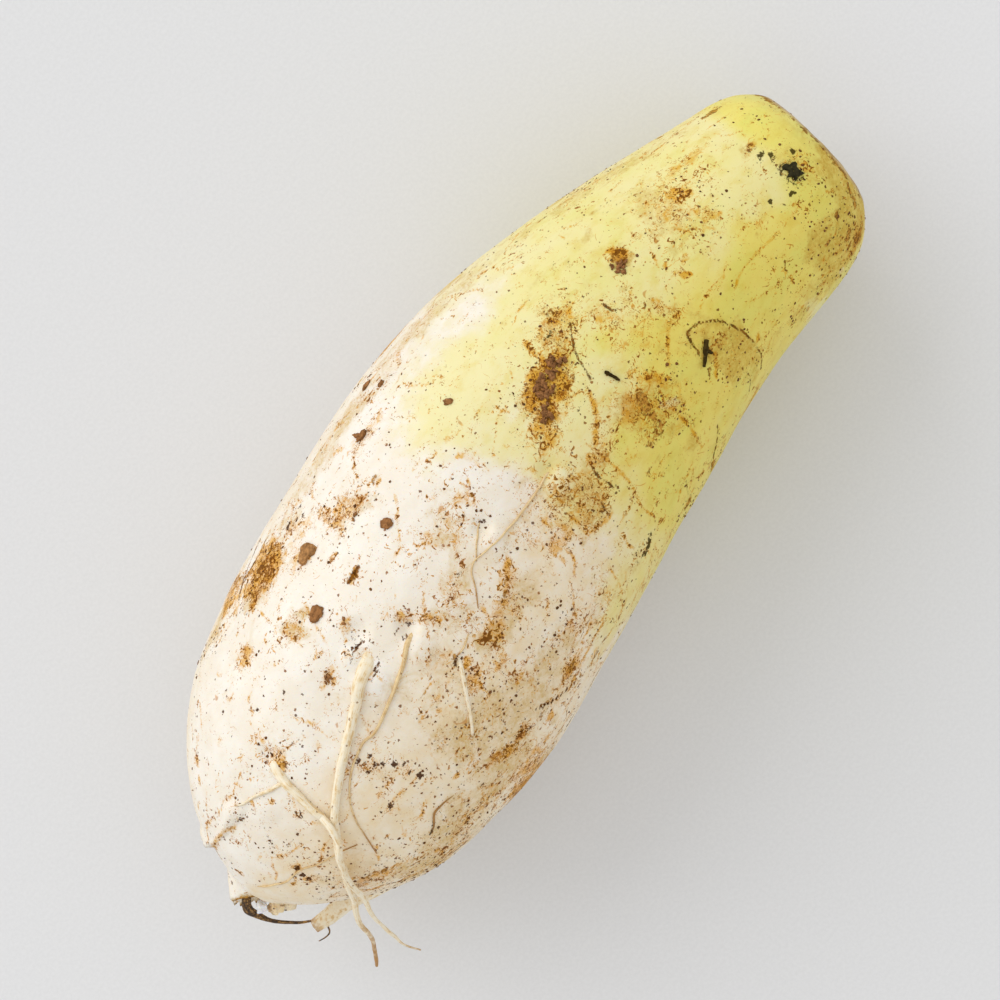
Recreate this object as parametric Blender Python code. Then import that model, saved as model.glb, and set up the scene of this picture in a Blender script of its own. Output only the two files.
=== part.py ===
"""A daikon radish lying on its side: the swollen root, its side roots and the soil dried on its skin.

Metres, +Z up. +X runs along the root from the tail to the crown, where the leaves were cut off.
The model is laid out from the tail and from the resting plane; the last step moves the origin
under the middle of everything.
"""

import math
import random

import bmesh
import bpy
from mathutils import Matrix, Vector
from mathutils.bvhtree import BVHTree

MM = 0.001

# Driving dimensions of the swollen root.
LENGTH = 280 * MM
WIDTH = 106.4 * MM
ROUNDNESS = 0.97  # height of a section over its width
PITCH = math.radians(-3.0)  # the crown end lies lower than the tail
AXIS_AT_TAIL = 56.25 * MM  # height of the root's axis over the resting plane, at the tail

# Upright sections from the tail to the crown: distance along as a share of LENGTH, and the
# sideways bow of the axis and the half width as shares of WIDTH.
SECTIONS = (
    (0.014, 0.005, 0.000),
    (0.016, 0.006, 0.042),
    (0.022, 0.010, 0.085),
    (0.029, 0.022, 0.124),
    (0.043, 0.039, 0.191),
    (0.061, 0.047, 0.247),
    (0.079, 0.052, 0.291),
    (0.100, 0.053, 0.337),
    (0.125, 0.056, 0.380),
    (0.154, 0.058, 0.418),
    (0.186, 0.061, 0.446),
    (0.221, 0.065, 0.466),
    (0.264, 0.074, 0.485),
    (0.314, 0.082, 0.497),
    (0.364, 0.092, 0.500),
    (0.421, 0.113, 0.498),
    (0.482, 0.132, 0.494),
    (0.543, 0.145, 0.482),
    (0.607, 0.150, 0.461),
    (0.671, 0.148, 0.435),
    (0.736, 0.137, 0.402),
    (0.793, 0.118, 0.371),
    (0.850, 0.093, 0.346),
    (0.893, 0.072, 0.327),
    (0.921, 0.062, 0.311),
    (0.946, 0.058, 0.290),
    (0.964, 0.062, 0.266),
    (0.979, 0.069, 0.236),
    (0.989, 0.077, 0.204),
    (0.998, 0.088, 0.162),
    (1.005, 0.101, 0.117),
    (1.011, 0.111, 0.064),
    (1.013, 0.113, 0.000),
)
RINGS = 56
SIDES = 48

# Where the leaves were sliced off: the knife went square to the bowed axis.
CROWN_CUT_X = 276.9 * MM
CROWN_CUT_Y = 4.0 * MM
CROWN_CUT_TURN = math.radians(-8.6)
CUTTER_SIZE = 0.2

REST_SHAVE = 1.8 * MM  # depth of the flat that the belly rests on
SKIN_GAP = 0.35 * MM  # air between the skin and what lies on it
TUBE_STEP = 2.6 * MM
HAIR_SIDES = 1  # bevel resolutions
ROOT_SIDES = 2
WELD = 0.01 * MM
LUMP_DETAIL = 2  # subdivisions of the ball that a crumb or a lump starts from

# Colours of the materials, linear red, green and blue, with roughness.
FINISHES = {
    "skin": ((0.80, 0.74, 0.55), 0.45),
    "side_root": ((0.76, 0.62, 0.38), 0.60),
    "root_hair": ((0.52, 0.34, 0.15), 0.70),
    "dried_fibre": ((0.07, 0.045, 0.02), 0.80),
    "torn_flesh": ((0.78, 0.68, 0.50), 0.35),
    "soil": ((0.12, 0.055, 0.03), 0.95),
    "plant_litter": ((0.09, 0.07, 0.03), 0.85),
}

# Short stubs that are one with the root: the broken tap root and a sliced side root.
# Each is a route from inside the root to its end, with the width along it, all in millimetres.
STUBS = (
    (((12.0, 4.5, 56.0), (6.5, 1.5, 56.0), (2.6, -2.0, 55.5)), (13.0, 11.5, 8.6)),
    (((25.0, 15.5, 75.0), (18.0, 17.0, 69.5), (12.2, 18.4, 64.0)), (14.0, 11.5, 8.0)),
)

# Side roots and root hairs. Millimetres: (x, y) lies on the skin, a third value lifts the route
# off the skin, and the loose end hangs free at (x, y, height over the resting plane).
# Widths are pairs of share of the way along and width.
ROOTS = {
    "side_root_thick": {
        "skin": ((80.8, 14.4, 0.0), (71.5, 10.0), (61.5, 5.5), (52.0, 1.0), (42.5, -4.3)),
        "loose": (
            (34.5, -11.7, 93.2), (26.5, -21.1, 81.5), (23.6, -24.9, 75.0), (18.7, -29.9, 67.0),
            (16.1, -35.9, 59.0), (12.6, -39.8, 53.0), (8.8, -43.2, 47.0),
        ),
        "widths": ((0.0, 4.6), (0.08, 3.0), (0.45, 2.3), (0.75, 2.0), (0.9, 1.4), (1.0, 1.0)),
        "finish": "side_root",
    },
    "side_root_left": {
        "skin": ((42.2, 17.0), (40.6, 12.2), (40.2, 6.9), (39.1, -0.2, 0.8)),
        "loose": (
            (37.6, -7.4, 98.2), (35.6, -11.1, 97.6), (33.0, -13.4, 96.0), (29.4, -18.0, 90.5),
            (27.6, -22.2, 85.0), (25.8, -26.8, 78.0), (22.8, -32.0, 71.0), (21.4, -38.0, 65.0),
            (20.5, -44.6, 60.0), (21.4, -49.3, 57.0),
        ),
        "widths": ((0.0, 1.2), (0.15, 1.8), (0.6, 1.7), (0.8, 1.2), (1.0, 0.7)),
        "finish": "side_root",
    },
    "side_root_thin": {
        "skin": (
            (93.0, 9.0), (87.0, 6.0), (79.5, 3.4), (73.5, 1.8), (66.8, 0.4), (60.0, 0.6),
            (54.0, -1.4), (47.4, -6.0), (43.5, -11.4), (39.5, -21.2),
        ),
        "widths": ((0.0, 1.6), (0.5, 1.0), (1.0, 0.5)),
        "finish": "root_hair",
    },
    "side_root_short": {
        "skin": ((96.6, -6.8), (92.2, -11.6), (86.9, -17.8), (81.6, -22.3)),
        "widths": ((0.0, 1.5), (0.6, 1.1), (1.0, 0.6)),
        "finish": "side_root",
    },
    "shoulder_root_hair": {
        "skin": (
            (152.6, 6.8), (146.2, 6.0), (138.6, 5.7), (131.0, 6.1), (122.5, 7.8), (119.0, 7.0),
            (116.5, 4.0), (114.0, 1.3), (111.7, -1.0),
        ),
        "widths": ((0.0, 1.2), (0.7, 0.8), (1.0, 0.5)),
        "finish": "root_hair",
    },
    "middle_root_hair": {
        "skin": ((130.0, 13.0), (127.0, 11.2), (124.7, 9.8)),
        "widths": ((0.0, 0.9), (1.0, 0.5)),
        "finish": "root_hair",
    },
    "tail_root_hair": {
        "skin": (
            (10.5, -2.0), (13.0, -4.0), (16.4, -6.2), (21.7, -7.2), (26.5, -10.1), (32.1, -12.1),
            (38.4, -15.1),
        ),
        "widths": ((0.0, 0.8), (0.6, 0.8), (1.0, 0.5)),
        "finish": "root_hair",
    },
    "side_root_flat": {
        "skin": ((38.4, 14.2), (34.5, 15.0), (30.2, 16.6), (27.3, 17.5), (26.1, 18.4)),
        "widths": ((0.0, 1.8), (0.5, 1.0), (1.0, 0.5)),
        "finish": "side_root",
    },
    "forked_root_hair": {
        "skin": ((65.6, -28.0), (62.0, -27.2), (58.3, -26.9), (54.8, -29.2), (52.4, -29.6)),
        "widths": ((0.0, 0.6), (0.4, 1.0), (0.7, 1.1), (1.0, 0.6)),
        "finish": "dried_fibre",
    },
    "stray_root_hair": {
        "skin": ((105.5, -3.0), (100.8, -4.6), (97.8, -4.6)),
        "widths": ((0.0, 0.6), (1.0, 0.6)),
        "finish": "root_hair",
    },
    "side_root_stub": {
        "skin": (),
        "loose": (
            (29.9, -30.0, 34.0), (23.8, -28.0, 35.5), (16.9, -25.6, 36.0), (11.1, -24.2, 36.0),
            (6.3, -22.4, 36.0),
        ),
        "widths": ((0.0, 6.6), (0.5, 6.0), (1.0, 4.4)),
        "finish": "side_root",
    },
    "stub_root_hair": {
        "skin": (),
        "loose": ((6.2, -26.6, 34.0), (4.5, -26.8, 32.0), (1.4, -26.0, 29.0)),
        "widths": ((0.0, 0.5), (1.0, 0.5)),
        "finish": "dried_fibre",
    },
    "dried_tail_fibre": {
        "skin": (),
        "loose": (
            (-1.0, -0.2, 50.6), (-2.2, -3.0, 48.8), (-1.5, -7.5, 47.0), (0.5, -11.6, 46.0),
            (3.5, -16.3, 45.0), (5.4, -18.8, 44.0),
        ),
        "widths": ((0.0, 2.4), (0.3, 1.8), (0.5, 0.9), (1.0, 0.7)),
        "finish": "dried_fibre",
    },
}
# Under the root: loose ends cannot be seen from above, so these two are pressed to the flanks.
# A route there is given by distance along and by the angle round from straight down.
FLANK_ROOTS = {
    "far_flank_root": (((118, 62), (108, 55), (97, 51), (88, 44), (80, 43)), 1.3),
    "near_flank_root": (((92, -58), (84, -50), (75, -47), (68, -41)), 1.1),
}
FLANK_TAPER = 0.6  # share of its width that such a root loses by its end

# Crumbs of dried soil: x, y on the skin, length, width and height, turn in degrees.
SOIL_CRUMBS = (
    (144.3, 59.9, 3.4, 3.0, 1.4, 20),
    (141.0, 63.1, 3.0, 2.2, 1.2, 70),
    (128.9, 54.3, 6.0, 3.2, 1.9, 5),
    (151.7, 41.1, 2.5, 2.1, 1.3, 0),
    (114.5, 33.0, 3.1, 2.6, 1.5, 40),
    (109.4, 40.9, 2.6, 1.8, 1.0, 10),
    (93.7, 46.3, 6.4, 5.2, 1.6, 30),
    (82.9, 33.3, 4.6, 3.6, 1.9, 80),
    (85.3, 25.5, 2.2, 1.8, 1.0, 0),
    (70.6, 20.2, 5.2, 2.4, 1.3, 60),
    (178.0, 24.1, 5.6, 4.2, 1.8, 35),
    (171.7, 22.7, 6.4, 4.4, 1.9, 75),
    (165.4, 17.1, 4.8, 3.6, 1.5, 15),
    (211.6, 26.5, 5.4, 3.4, 1.5, 50),
    (264.4, 4.1, 5.2, 4.6, 1.4, 25),
)
CRUMB_ROUGHNESS = 0.16
FLESH_ROUGHNESS = 0.08
LUMP_SEED = 11

# Twig bits: start and end on the skin, width.
LITTER = {
    "twig_bit_short": (((187.2, 10.2), (185.4, 9.0), (183.9, 8.4)), 1.5),
    "twig_bit_dark": (((209.6, -6.0), (207.6, -7.2), (204.9, -8.9)), 1.9),
}

# Lumps of torn flesh at the broken tip: centre over the resting plane and size.
TORN_FLESH = {
    "torn_flesh_white": ((1.9, -6.2, 51.6), (3.0, 2.8, 3.2)),
    "torn_flesh_beige": ((4.0, -9.4, 50.6), (3.6, 2.8, 3.0)),
    "torn_flesh_clear": ((7.2, -13.2, 48.6), (4.4, 2.8, 3.0)),
}


def clear_scene():
    for thing in list(bpy.data.objects):
        bpy.data.objects.remove(thing)


def new_collection(name):
    made = bpy.data.collections.new(name)
    bpy.context.scene.collection.children.link(made)
    return made


def new_material(name):
    colour, roughness = FINISHES[name]
    made = bpy.data.materials.new(name)
    made.use_nodes = True
    shader = made.node_tree.nodes["Principled BSDF"]
    shader.inputs["Base Color"].default_value = (*colour, 1)
    shader.inputs["Roughness"].default_value = roughness
    shader.inputs["Metallic"].default_value = 0
    return made


def spline_point(rows, spacing, at):
    """The row at a place on a smooth curve through rows, which stand at the values in spacing."""
    i = max(k for k in range(len(rows) - 1) if spacing[k] <= at)
    near = [min(max(i + k, 0), len(rows) - 1) for k in (-1, 0, 1, 2)]
    t0, t1, t2, t3 = (spacing[k] for k in near)
    u = (at - t1) / (t2 - t1)
    found = []
    for p0, p1, p2, p3 in zip(*(rows[k] for k in near)):
        leave = (t2 - t1) * (p2 - p0) / (t2 - t0)
        arrive = (t2 - t1) * (p3 - p1) / (t3 - t1)
        found.append(
            (2 * u**3 - 3 * u**2 + 1) * p1
            + (u**3 - 2 * u**2 + u) * leave
            + (3 * u**2 - 2 * u**3) * p2
            + (u**3 - u**2) * arrive
        )
    return found


def chord_spacing(rows, power):
    spacing = [0.0]
    for a, b in zip(rows, rows[1:]):
        spacing.append(spacing[-1] + math.dist(a, b) ** power)
    return spacing


def section_rows():
    """The sections in metres: centre x, y, z and half width."""
    rows = []
    for along, bow, half in SECTIONS:
        x = along * LENGTH
        rows.append((x, bow * WIDTH, AXIS_AT_TAIL + x * math.tan(PITCH), half * WIDTH))
    return rows


def root_skin():
    """Upright rings, lofted from the tail to the crown."""
    rows = section_rows()
    spacing = chord_spacing(rows, 0.5)
    made = bmesh.new()
    rings = []
    for i in range(1, RINGS):
        x, y, z, half = spline_point(rows, spacing, spacing[-1] * i / RINGS)
        ring = []
        for k in range(SIDES):
            angle = 2 * math.pi * k / SIDES
            out = (0, half * math.cos(angle), half * math.sin(angle) * ROUNDNESS)
            ring.append(made.verts.new(Vector((x, y, z)) + Vector(out)))
        rings.append(ring)
    for ring, following in zip(rings, rings[1:]):
        for k in range(SIDES):
            after = (k + 1) % SIDES
            made.faces.new((ring[k], ring[after], following[after], following[k]))
    for ring, row in ((rings[0][::-1], rows[0]), (rings[-1], rows[-1])):
        pole = made.verts.new(row[:3])
        for k in range(SIDES):
            made.faces.new((ring[k], ring[(k + 1) % SIDES], pole))
    bmesh.ops.recalc_face_normals(made, faces=made.faces)
    mesh = bpy.data.meshes.new("root_skin")
    made.to_mesh(mesh)
    made.free()
    return mesh


def tube_curve(name, points, widths, sides, home):
    """A round tube through points, with a width at each."""
    curve = bpy.data.curves.new(name, "CURVE")
    curve.dimensions = "3D"
    curve.bevel_depth = 0.5 * MM
    curve.bevel_resolution = sides
    curve.use_fill_caps = True
    spline = curve.splines.new("POLY")
    spline.points.add(len(points) - 1)
    for spot, point, width in zip(spline.points, points, widths):
        spot.co = (*point, 1)
        spot.radius = width / MM
    tube = bpy.data.objects.new(name, curve)
    home.objects.link(tube)
    return tube


def smooth_route(controls):
    """Points TUBE_STEP apart on a smooth curve through the controls, with their shares."""
    rows = [tuple(control) for control in controls]
    spacing = chord_spacing(rows, 1.0)
    count = max(4, round(spacing[-1] / TUBE_STEP))
    shares = [i / count for i in range(count + 1)]
    return [Vector(spline_point(rows, spacing, share * spacing[-1])) for share in shares], shares


def width_at(widths, share):
    """The width, in metres, from pairs of share and millimetres."""
    for (s0, w0), (s1, w1) in zip(widths, widths[1:]):
        if share <= s1:
            return (w0 + (w1 - w0) * (share - s0) / (s1 - s0)) * MM
    return widths[-1][1] * MM


class Skin:
    """The finished surface of the root, for laying things on it."""

    def __init__(self, body):
        graph = bpy.context.evaluated_depsgraph_get()
        self.tree = BVHTree.FromObject(body, graph)

    def below(self, x, y):
        spot, normal, _, _ = self.tree.ray_cast(Vector((x, y, 1)), Vector((0, 0, -1)))
        return spot, normal

    def outward(self, start, direction):
        """The skin in a direction from a point inside the root."""
        return self.tree.ray_cast(start, direction)[0]

    def keep_clear(self, point, clearance):
        """The point, or if it is nearer to the skin than the clearance, moved out to it."""
        spot, normal, _, _ = self.tree.find_nearest(point)
        if (point - spot).dot(normal) < clearance:
            return spot + normal * clearance
        return point


def joined_stub(number, home):
    """A tube that a Boolean makes one with the root."""
    route, widths = STUBS[number]
    points, shares = smooth_route([Vector(point) * MM for point in route])
    pairs = tuple((i / (len(widths) - 1), width) for i, width in enumerate(widths))
    curve = tube_curve(f"stub_{number}", points, [width_at(pairs, s) for s in shares], ROOT_SIDES, home)
    graph = bpy.context.evaluated_depsgraph_get()
    mesh = bpy.data.meshes.new_from_object(curve.evaluated_get(graph))
    bpy.data.objects.remove(curve)
    welded = bmesh.new()
    welded.from_mesh(mesh)
    bmesh.ops.remove_doubles(welded, verts=welded.verts, dist=WELD)
    welded.to_mesh(mesh)
    welded.free()
    stub = bpy.data.objects.new(f"stub_{number}", mesh)
    home.objects.link(stub)
    return as_cutter(stub)


def as_cutter(thing):
    thing.hide_render = True
    thing.display_type = "WIRE"
    return thing


def cutter_box(name, centre, turn, home):
    """A big cube with the middle of its -X face at the centre before it is turned about Z."""
    bpy.ops.mesh.primitive_cube_add(size=CUTTER_SIZE)
    box = bpy.context.active_object
    box.name = name
    box.data.transform(Matrix.Translation((CUTTER_SIZE / 2, 0, 0)))
    box.location = centre
    box.rotation_euler = turn
    for holder in list(box.users_collection):
        holder.objects.unlink(box)
    home.objects.link(box)
    return as_cutter(box)


def boolean(body, tool, operation):
    step = body.modifiers.new(tool.name, "BOOLEAN")
    step.operation = operation
    step.solver = "EXACT"
    step.object = tool


def radish_body(parts, cutters, finish):
    mesh = root_skin()
    lowest = min(vertex.co.z for vertex in mesh.vertices)
    body = bpy.data.objects.new("radish_body", mesh)
    parts.objects.link(body)
    mesh.materials.append(finish)
    for number in range(len(STUBS)):
        boolean(body, joined_stub(number, cutters), "UNION")
    crown_at = (CROWN_CUT_X, CROWN_CUT_Y, AXIS_AT_TAIL + CROWN_CUT_X * math.tan(PITCH))
    knife = cutter_box("crown_knife", crown_at, (0, -PITCH, CROWN_CUT_TURN), cutters)
    boolean(body, knife, "DIFFERENCE")
    floor_turn = (0, math.radians(90), 0)
    floor_at = (LENGTH / 2, 0, lowest + REST_SHAVE)
    boolean(body, cutter_box("rest_plane", floor_at, floor_turn, cutters), "DIFFERENCE")
    body.data.shade_smooth()
    bpy.context.view_layer.update()
    return body


def lay_root(name, plan, skin, parts, finishes):
    """A side root: it leaves the skin, lies along it, and its loose end hangs free."""
    widths = plan["widths"]
    start_width = widths[0][1] * MM
    controls = []
    for x, y, *lift in plan["skin"]:
        spot, normal = skin.below(x * MM, y * MM)
        off = start_width / 4 + SKIN_GAP + (lift[0] * MM if lift else 0)
        controls.append(spot + normal * off)
    controls += [Vector(point) * MM for point in plan.get("loose", ())]
    points, shares = smooth_route(controls)
    thick = [width_at(widths, share) for share in shares]
    points = [skin.keep_clear(p, w / 2 + SKIN_GAP) for p, w in zip(points, thick)]
    sides = ROOT_SIDES if max(thick) > 2 * MM else HAIR_SIDES
    tube = tube_curve(name, points, thick, sides, parts)
    tube.data.materials.append(finishes[plan["finish"]])


def flank_root(name, plan, skin, parts, finishes):
    """A thin root pressed to the flank, below the widest line of the root."""
    route, width = plan
    rows = section_rows()
    spacing = [row[0] for row in rows[1:]]
    controls = []
    for along, angle in route:
        centre = Vector(spline_point(rows[1:], spacing, along * MM)[:3])
        down = Vector((0, math.sin(math.radians(angle)), -math.cos(math.radians(angle))))
        spot = skin.outward(centre, down)
        controls.append(spot + down * (width * MM / 2 + SKIN_GAP))
    points, shares = smooth_route(controls)
    thick = [width * MM * (1 - FLANK_TAPER * share) for share in shares]
    points = [skin.keep_clear(p, w / 2 + SKIN_GAP) for p, w in zip(points, thick)]
    tube = tube_curve(name, points, thick, HAIR_SIDES, parts)
    tube.data.materials.append(finishes["root_hair"])


def rough_ball(name, size, roughness, dice):
    """An uneven lump of a given length, width and height."""
    made = bmesh.new()
    bmesh.ops.create_icosphere(made, subdivisions=LUMP_DETAIL, radius=0.5)
    for vertex in made.verts:
        vertex.co *= 1 + dice.uniform(-roughness, roughness)
        vertex.co = Vector(c * s for c, s in zip(vertex.co, size))
    mesh = bpy.data.meshes.new(name)
    made.to_mesh(mesh)
    made.free()
    return mesh


def soil_crumb(number, plan, skin, parts, finish, dice):
    x, y, *size, turn = plan
    spot, normal = skin.below(x * MM, y * MM)
    mesh = rough_ball(f"soil_crumb_{number:02d}", [s * MM for s in size], CRUMB_ROUGHNESS, dice)
    lie = normal.to_track_quat("Z", "Y").to_matrix().to_4x4()
    mesh.transform(lie @ Matrix.Rotation(math.radians(turn), 4, "Z"))
    lowest = min(vertex.co.dot(normal) for vertex in mesh.vertices)
    crumb = bpy.data.objects.new(mesh.name, mesh)
    crumb.location = spot + normal * (SKIN_GAP - lowest)
    mesh.materials.append(finish)
    parts.objects.link(crumb)


def twig_bit(name, plan, skin, parts, finishes):
    route, width = plan
    lay_root(
        name,
        {"skin": route, "widths": ((0, width), (1, width)), "finish": "plant_litter"},
        skin, parts, finishes,
    )


def torn_flesh(name, plan, parts, finish, dice):
    centre, size = plan
    mesh = rough_ball(name, [s * MM for s in size], FLESH_ROUGHNESS, dice)
    mesh.materials.append(finish)
    lump = bpy.data.objects.new(name, mesh)
    lump.location = Vector(centre) * MM
    parts.objects.link(lump)


def origin_under_the_middle(parts):
    """Moves everything so that the origin is on the resting plane, under the middle of the whole."""
    graph = bpy.context.evaluated_depsgraph_get()
    corners = []
    for thing in parts.objects:
        evaluated = thing.evaluated_get(graph)
        mesh = evaluated.to_mesh()
        corners += [thing.matrix_world @ vertex.co for vertex in mesh.vertices]
        evaluated.to_mesh_clear()
    low = [min(corner[i] for corner in corners) for i in range(3)]
    high = [max(corner[i] for corner in corners) for i in range(3)]
    shift = Vector((-(low[0] + high[0]) / 2, -(low[1] + high[1]) / 2, -low[2]))
    for thing in bpy.data.objects:
        thing.location += shift


def main():
    clear_scene()
    parts = new_collection("daikon_radish")
    cutters = new_collection("daikon_radish_cutters")
    finishes = {name: new_material(name) for name in FINISHES}
    body = radish_body(parts, cutters, finishes["skin"])
    skin = Skin(body)
    for name, plan in ROOTS.items():
        lay_root(name, plan, skin, parts, finishes)
    for name, plan in FLANK_ROOTS.items():
        flank_root(name, plan, skin, parts, finishes)
    dice = random.Random(LUMP_SEED)
    for number, plan in enumerate(SOIL_CRUMBS, start=1):
        soil_crumb(number, plan, skin, parts, finishes["soil"], dice)
    for name, plan in LITTER.items():
        twig_bit(name, plan, skin, parts, finishes)
    for name, plan in TORN_FLESH.items():
        torn_flesh(name, plan, parts, finishes["torn_flesh"], dice)
    bpy.context.view_layer.update()
    origin_under_the_middle(parts)


if __name__ == "__main__":
    main()
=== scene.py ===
"""The look of a daikon radish lying on its side: skin, side roots, dried soil and a plain studio.

Laid out as a Blender add-on and run as a script. Everything is in metres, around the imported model.
"""

import math
import random

import bmesh
import bpy
import numpy as np
from mathutils import Matrix, Vector, noise
from mathutils.bvhtree import BVHTree


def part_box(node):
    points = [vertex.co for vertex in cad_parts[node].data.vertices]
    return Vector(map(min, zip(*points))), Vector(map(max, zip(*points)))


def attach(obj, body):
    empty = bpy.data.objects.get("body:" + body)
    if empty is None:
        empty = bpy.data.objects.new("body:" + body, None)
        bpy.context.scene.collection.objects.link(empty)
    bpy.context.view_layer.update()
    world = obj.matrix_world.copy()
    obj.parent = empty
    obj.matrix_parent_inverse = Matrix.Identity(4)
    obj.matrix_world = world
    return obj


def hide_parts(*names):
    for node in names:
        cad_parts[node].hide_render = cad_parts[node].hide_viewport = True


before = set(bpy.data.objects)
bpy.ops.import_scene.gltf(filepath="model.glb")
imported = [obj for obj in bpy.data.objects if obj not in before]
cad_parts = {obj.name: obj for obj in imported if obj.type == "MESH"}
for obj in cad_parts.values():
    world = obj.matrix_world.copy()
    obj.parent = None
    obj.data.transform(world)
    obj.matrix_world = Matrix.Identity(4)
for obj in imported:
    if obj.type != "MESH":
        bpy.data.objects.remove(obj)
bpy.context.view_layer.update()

bl_info = {
    "name": "Daikon Radish",
    "version": (1, 0, 0),
    "blender": (4, 5, 0),
    "location": "3D View > Sidebar > Radish",
    "description": "Dresses a daikon radish with its skin, side roots and dried soil",
    "category": "Object",
}

MM = 0.001

# The swollen root, as the part lays it out from the tail and the resting plane.
LENGTH = 280 * MM
WIDTH = 106.4 * MM
ROUNDNESS = 0.97
SLOPE = math.tan(math.radians(-3.0))
AXIS_AT_TAIL = 56.25 * MM
LOW_CORNER = Vector((-0.365, -44.139, 0)) * MM  # of the body, in that layout
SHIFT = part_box("radish_body")[0] - LOW_CORNER

# Upright sections from the tail to the crown: distance along as a share of LENGTH, and the
# sideways bow of the axis and the half width as shares of WIDTH.
SECTIONS = (
    (0.014, 0.005, 0.000), (0.016, 0.006, 0.042), (0.022, 0.010, 0.085), (0.029, 0.022, 0.124),
    (0.043, 0.039, 0.191), (0.061, 0.047, 0.247), (0.079, 0.052, 0.291), (0.100, 0.053, 0.337),
    (0.125, 0.056, 0.380), (0.154, 0.058, 0.418), (0.186, 0.061, 0.446), (0.221, 0.065, 0.466),
    (0.264, 0.074, 0.485), (0.314, 0.082, 0.497), (0.364, 0.092, 0.500), (0.421, 0.113, 0.498),
    (0.482, 0.132, 0.494), (0.543, 0.145, 0.482), (0.607, 0.150, 0.461), (0.671, 0.148, 0.435),
    (0.736, 0.137, 0.402), (0.793, 0.118, 0.371), (0.850, 0.093, 0.346), (0.893, 0.072, 0.327),
    (0.921, 0.062, 0.311), (0.946, 0.058, 0.290), (0.964, 0.062, 0.266), (0.979, 0.069, 0.236),
    (0.989, 0.077, 0.204), (0.998, 0.088, 0.162), (1.005, 0.101, 0.117), (1.011, 0.111, 0.064),
    (1.013, 0.113, 0.000),
)
TOP_BIAS = 0.3  # how much closer the lengthwise lines of the skin lie on top than underneath

# The sliced crown: a point of its face in millimetres, and the way the face looks.
CROWN_FACE_AT = (276.9, 4.0, 41.7)
CROWN_FACE_OUT = (0.9874, -0.1498, -0.0517)
CROWN_MIDDLE = (277.5, 8.0, 41.7)
CROWN_RADIUS = 27 * MM

# Places on the skin are given as millimetres along from the tail and degrees round from the top,
# counted towards +Y.
DIMPLES = (  # along, round, depth, width
    (154, -9, 1.3, 8), (130, -2, 1.5, 8), (96, 2, 2.1, 9), (86, 14, 1.7, 10), (43, 18, 1.0, 8),
    (97.5, -17, 0.7, 5), (150, 60, 0.8, 9), (64, 62, 0.9, 10), (196, -60, 0.6, 9),
)
SWELLINGS = (  # along, round, height, width
    (152, -15, 1.1, 12), (128, -7, 1.3, 12), (92, -5, 1.8, 13), (77.5, 1, 1.9, 14), (79.5, 11, 1.1, 8),
    (112, -8, 0.5, 8), (70, 30, 0.9, 34), (60, -8, 0.6, 26), (250, -24, 0.5, 22), (112, 34, 0.7, 30),
    (40, -14, 0.8, 22), (184, 4, -0.5, 26), (30, 8, 0.5, 12),
)

# The broken tail and the sliced knob beside it: a heart inside the root from which they are seen
# to stand out, a route through each in millimetres of the layout, its radius there, and the plane
# that ends it with how deep and how wide its face is hollowed.
STANDING_OUT = (
    {
        "heart": (24, 7, 57),
        "route": ((14, 8, 57), (8.5, 4.6, 57), (4.5, 1.4, 56), (1.0, -1.8, 55), (-3, -5.5, 53.5)),
        "radii": (6.0, 5.2, 4.8, 4.8, 4.6),
        "face": ((1.3, -1.2, 55), (-0.62, -0.72, 0.31), 2.2, 5.0),
    },
    {
        "heart": (30, 8, 66),
        "route": (
            (31.5, 15.0, 86.8), (24.8, 17.2, 81.8), (18.6, 19.0, 76.4), (13.4, 20.2, 70.6), (9, 21.5, 66),
        ),
        "radii": (3.0, 4.2, 4.7, 4.4, 4.2),
        "face": ((13.0, 19.7, 70.0), (-0.66, 0.62, 0.42), 0.4, 4.0),
    },
)

# Where the white flesh turns yellow green: degrees round and millimetres along.
SHOULDER_EDGE = (
    (-180, 160), (-120, 150), (-84, 116), (-66, 122), (-52, 131), (-36, 141), (-14, 146), (6, 143),
    (18, 136), (30, 132), (38, 130), (46, 132), (54, 138), (62, 146), (72, 152), (110, 170), (180, 160),
)
PALE_SPOT = (171, 50, 15, 10)  # along, round, and how far it reaches each way

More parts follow.
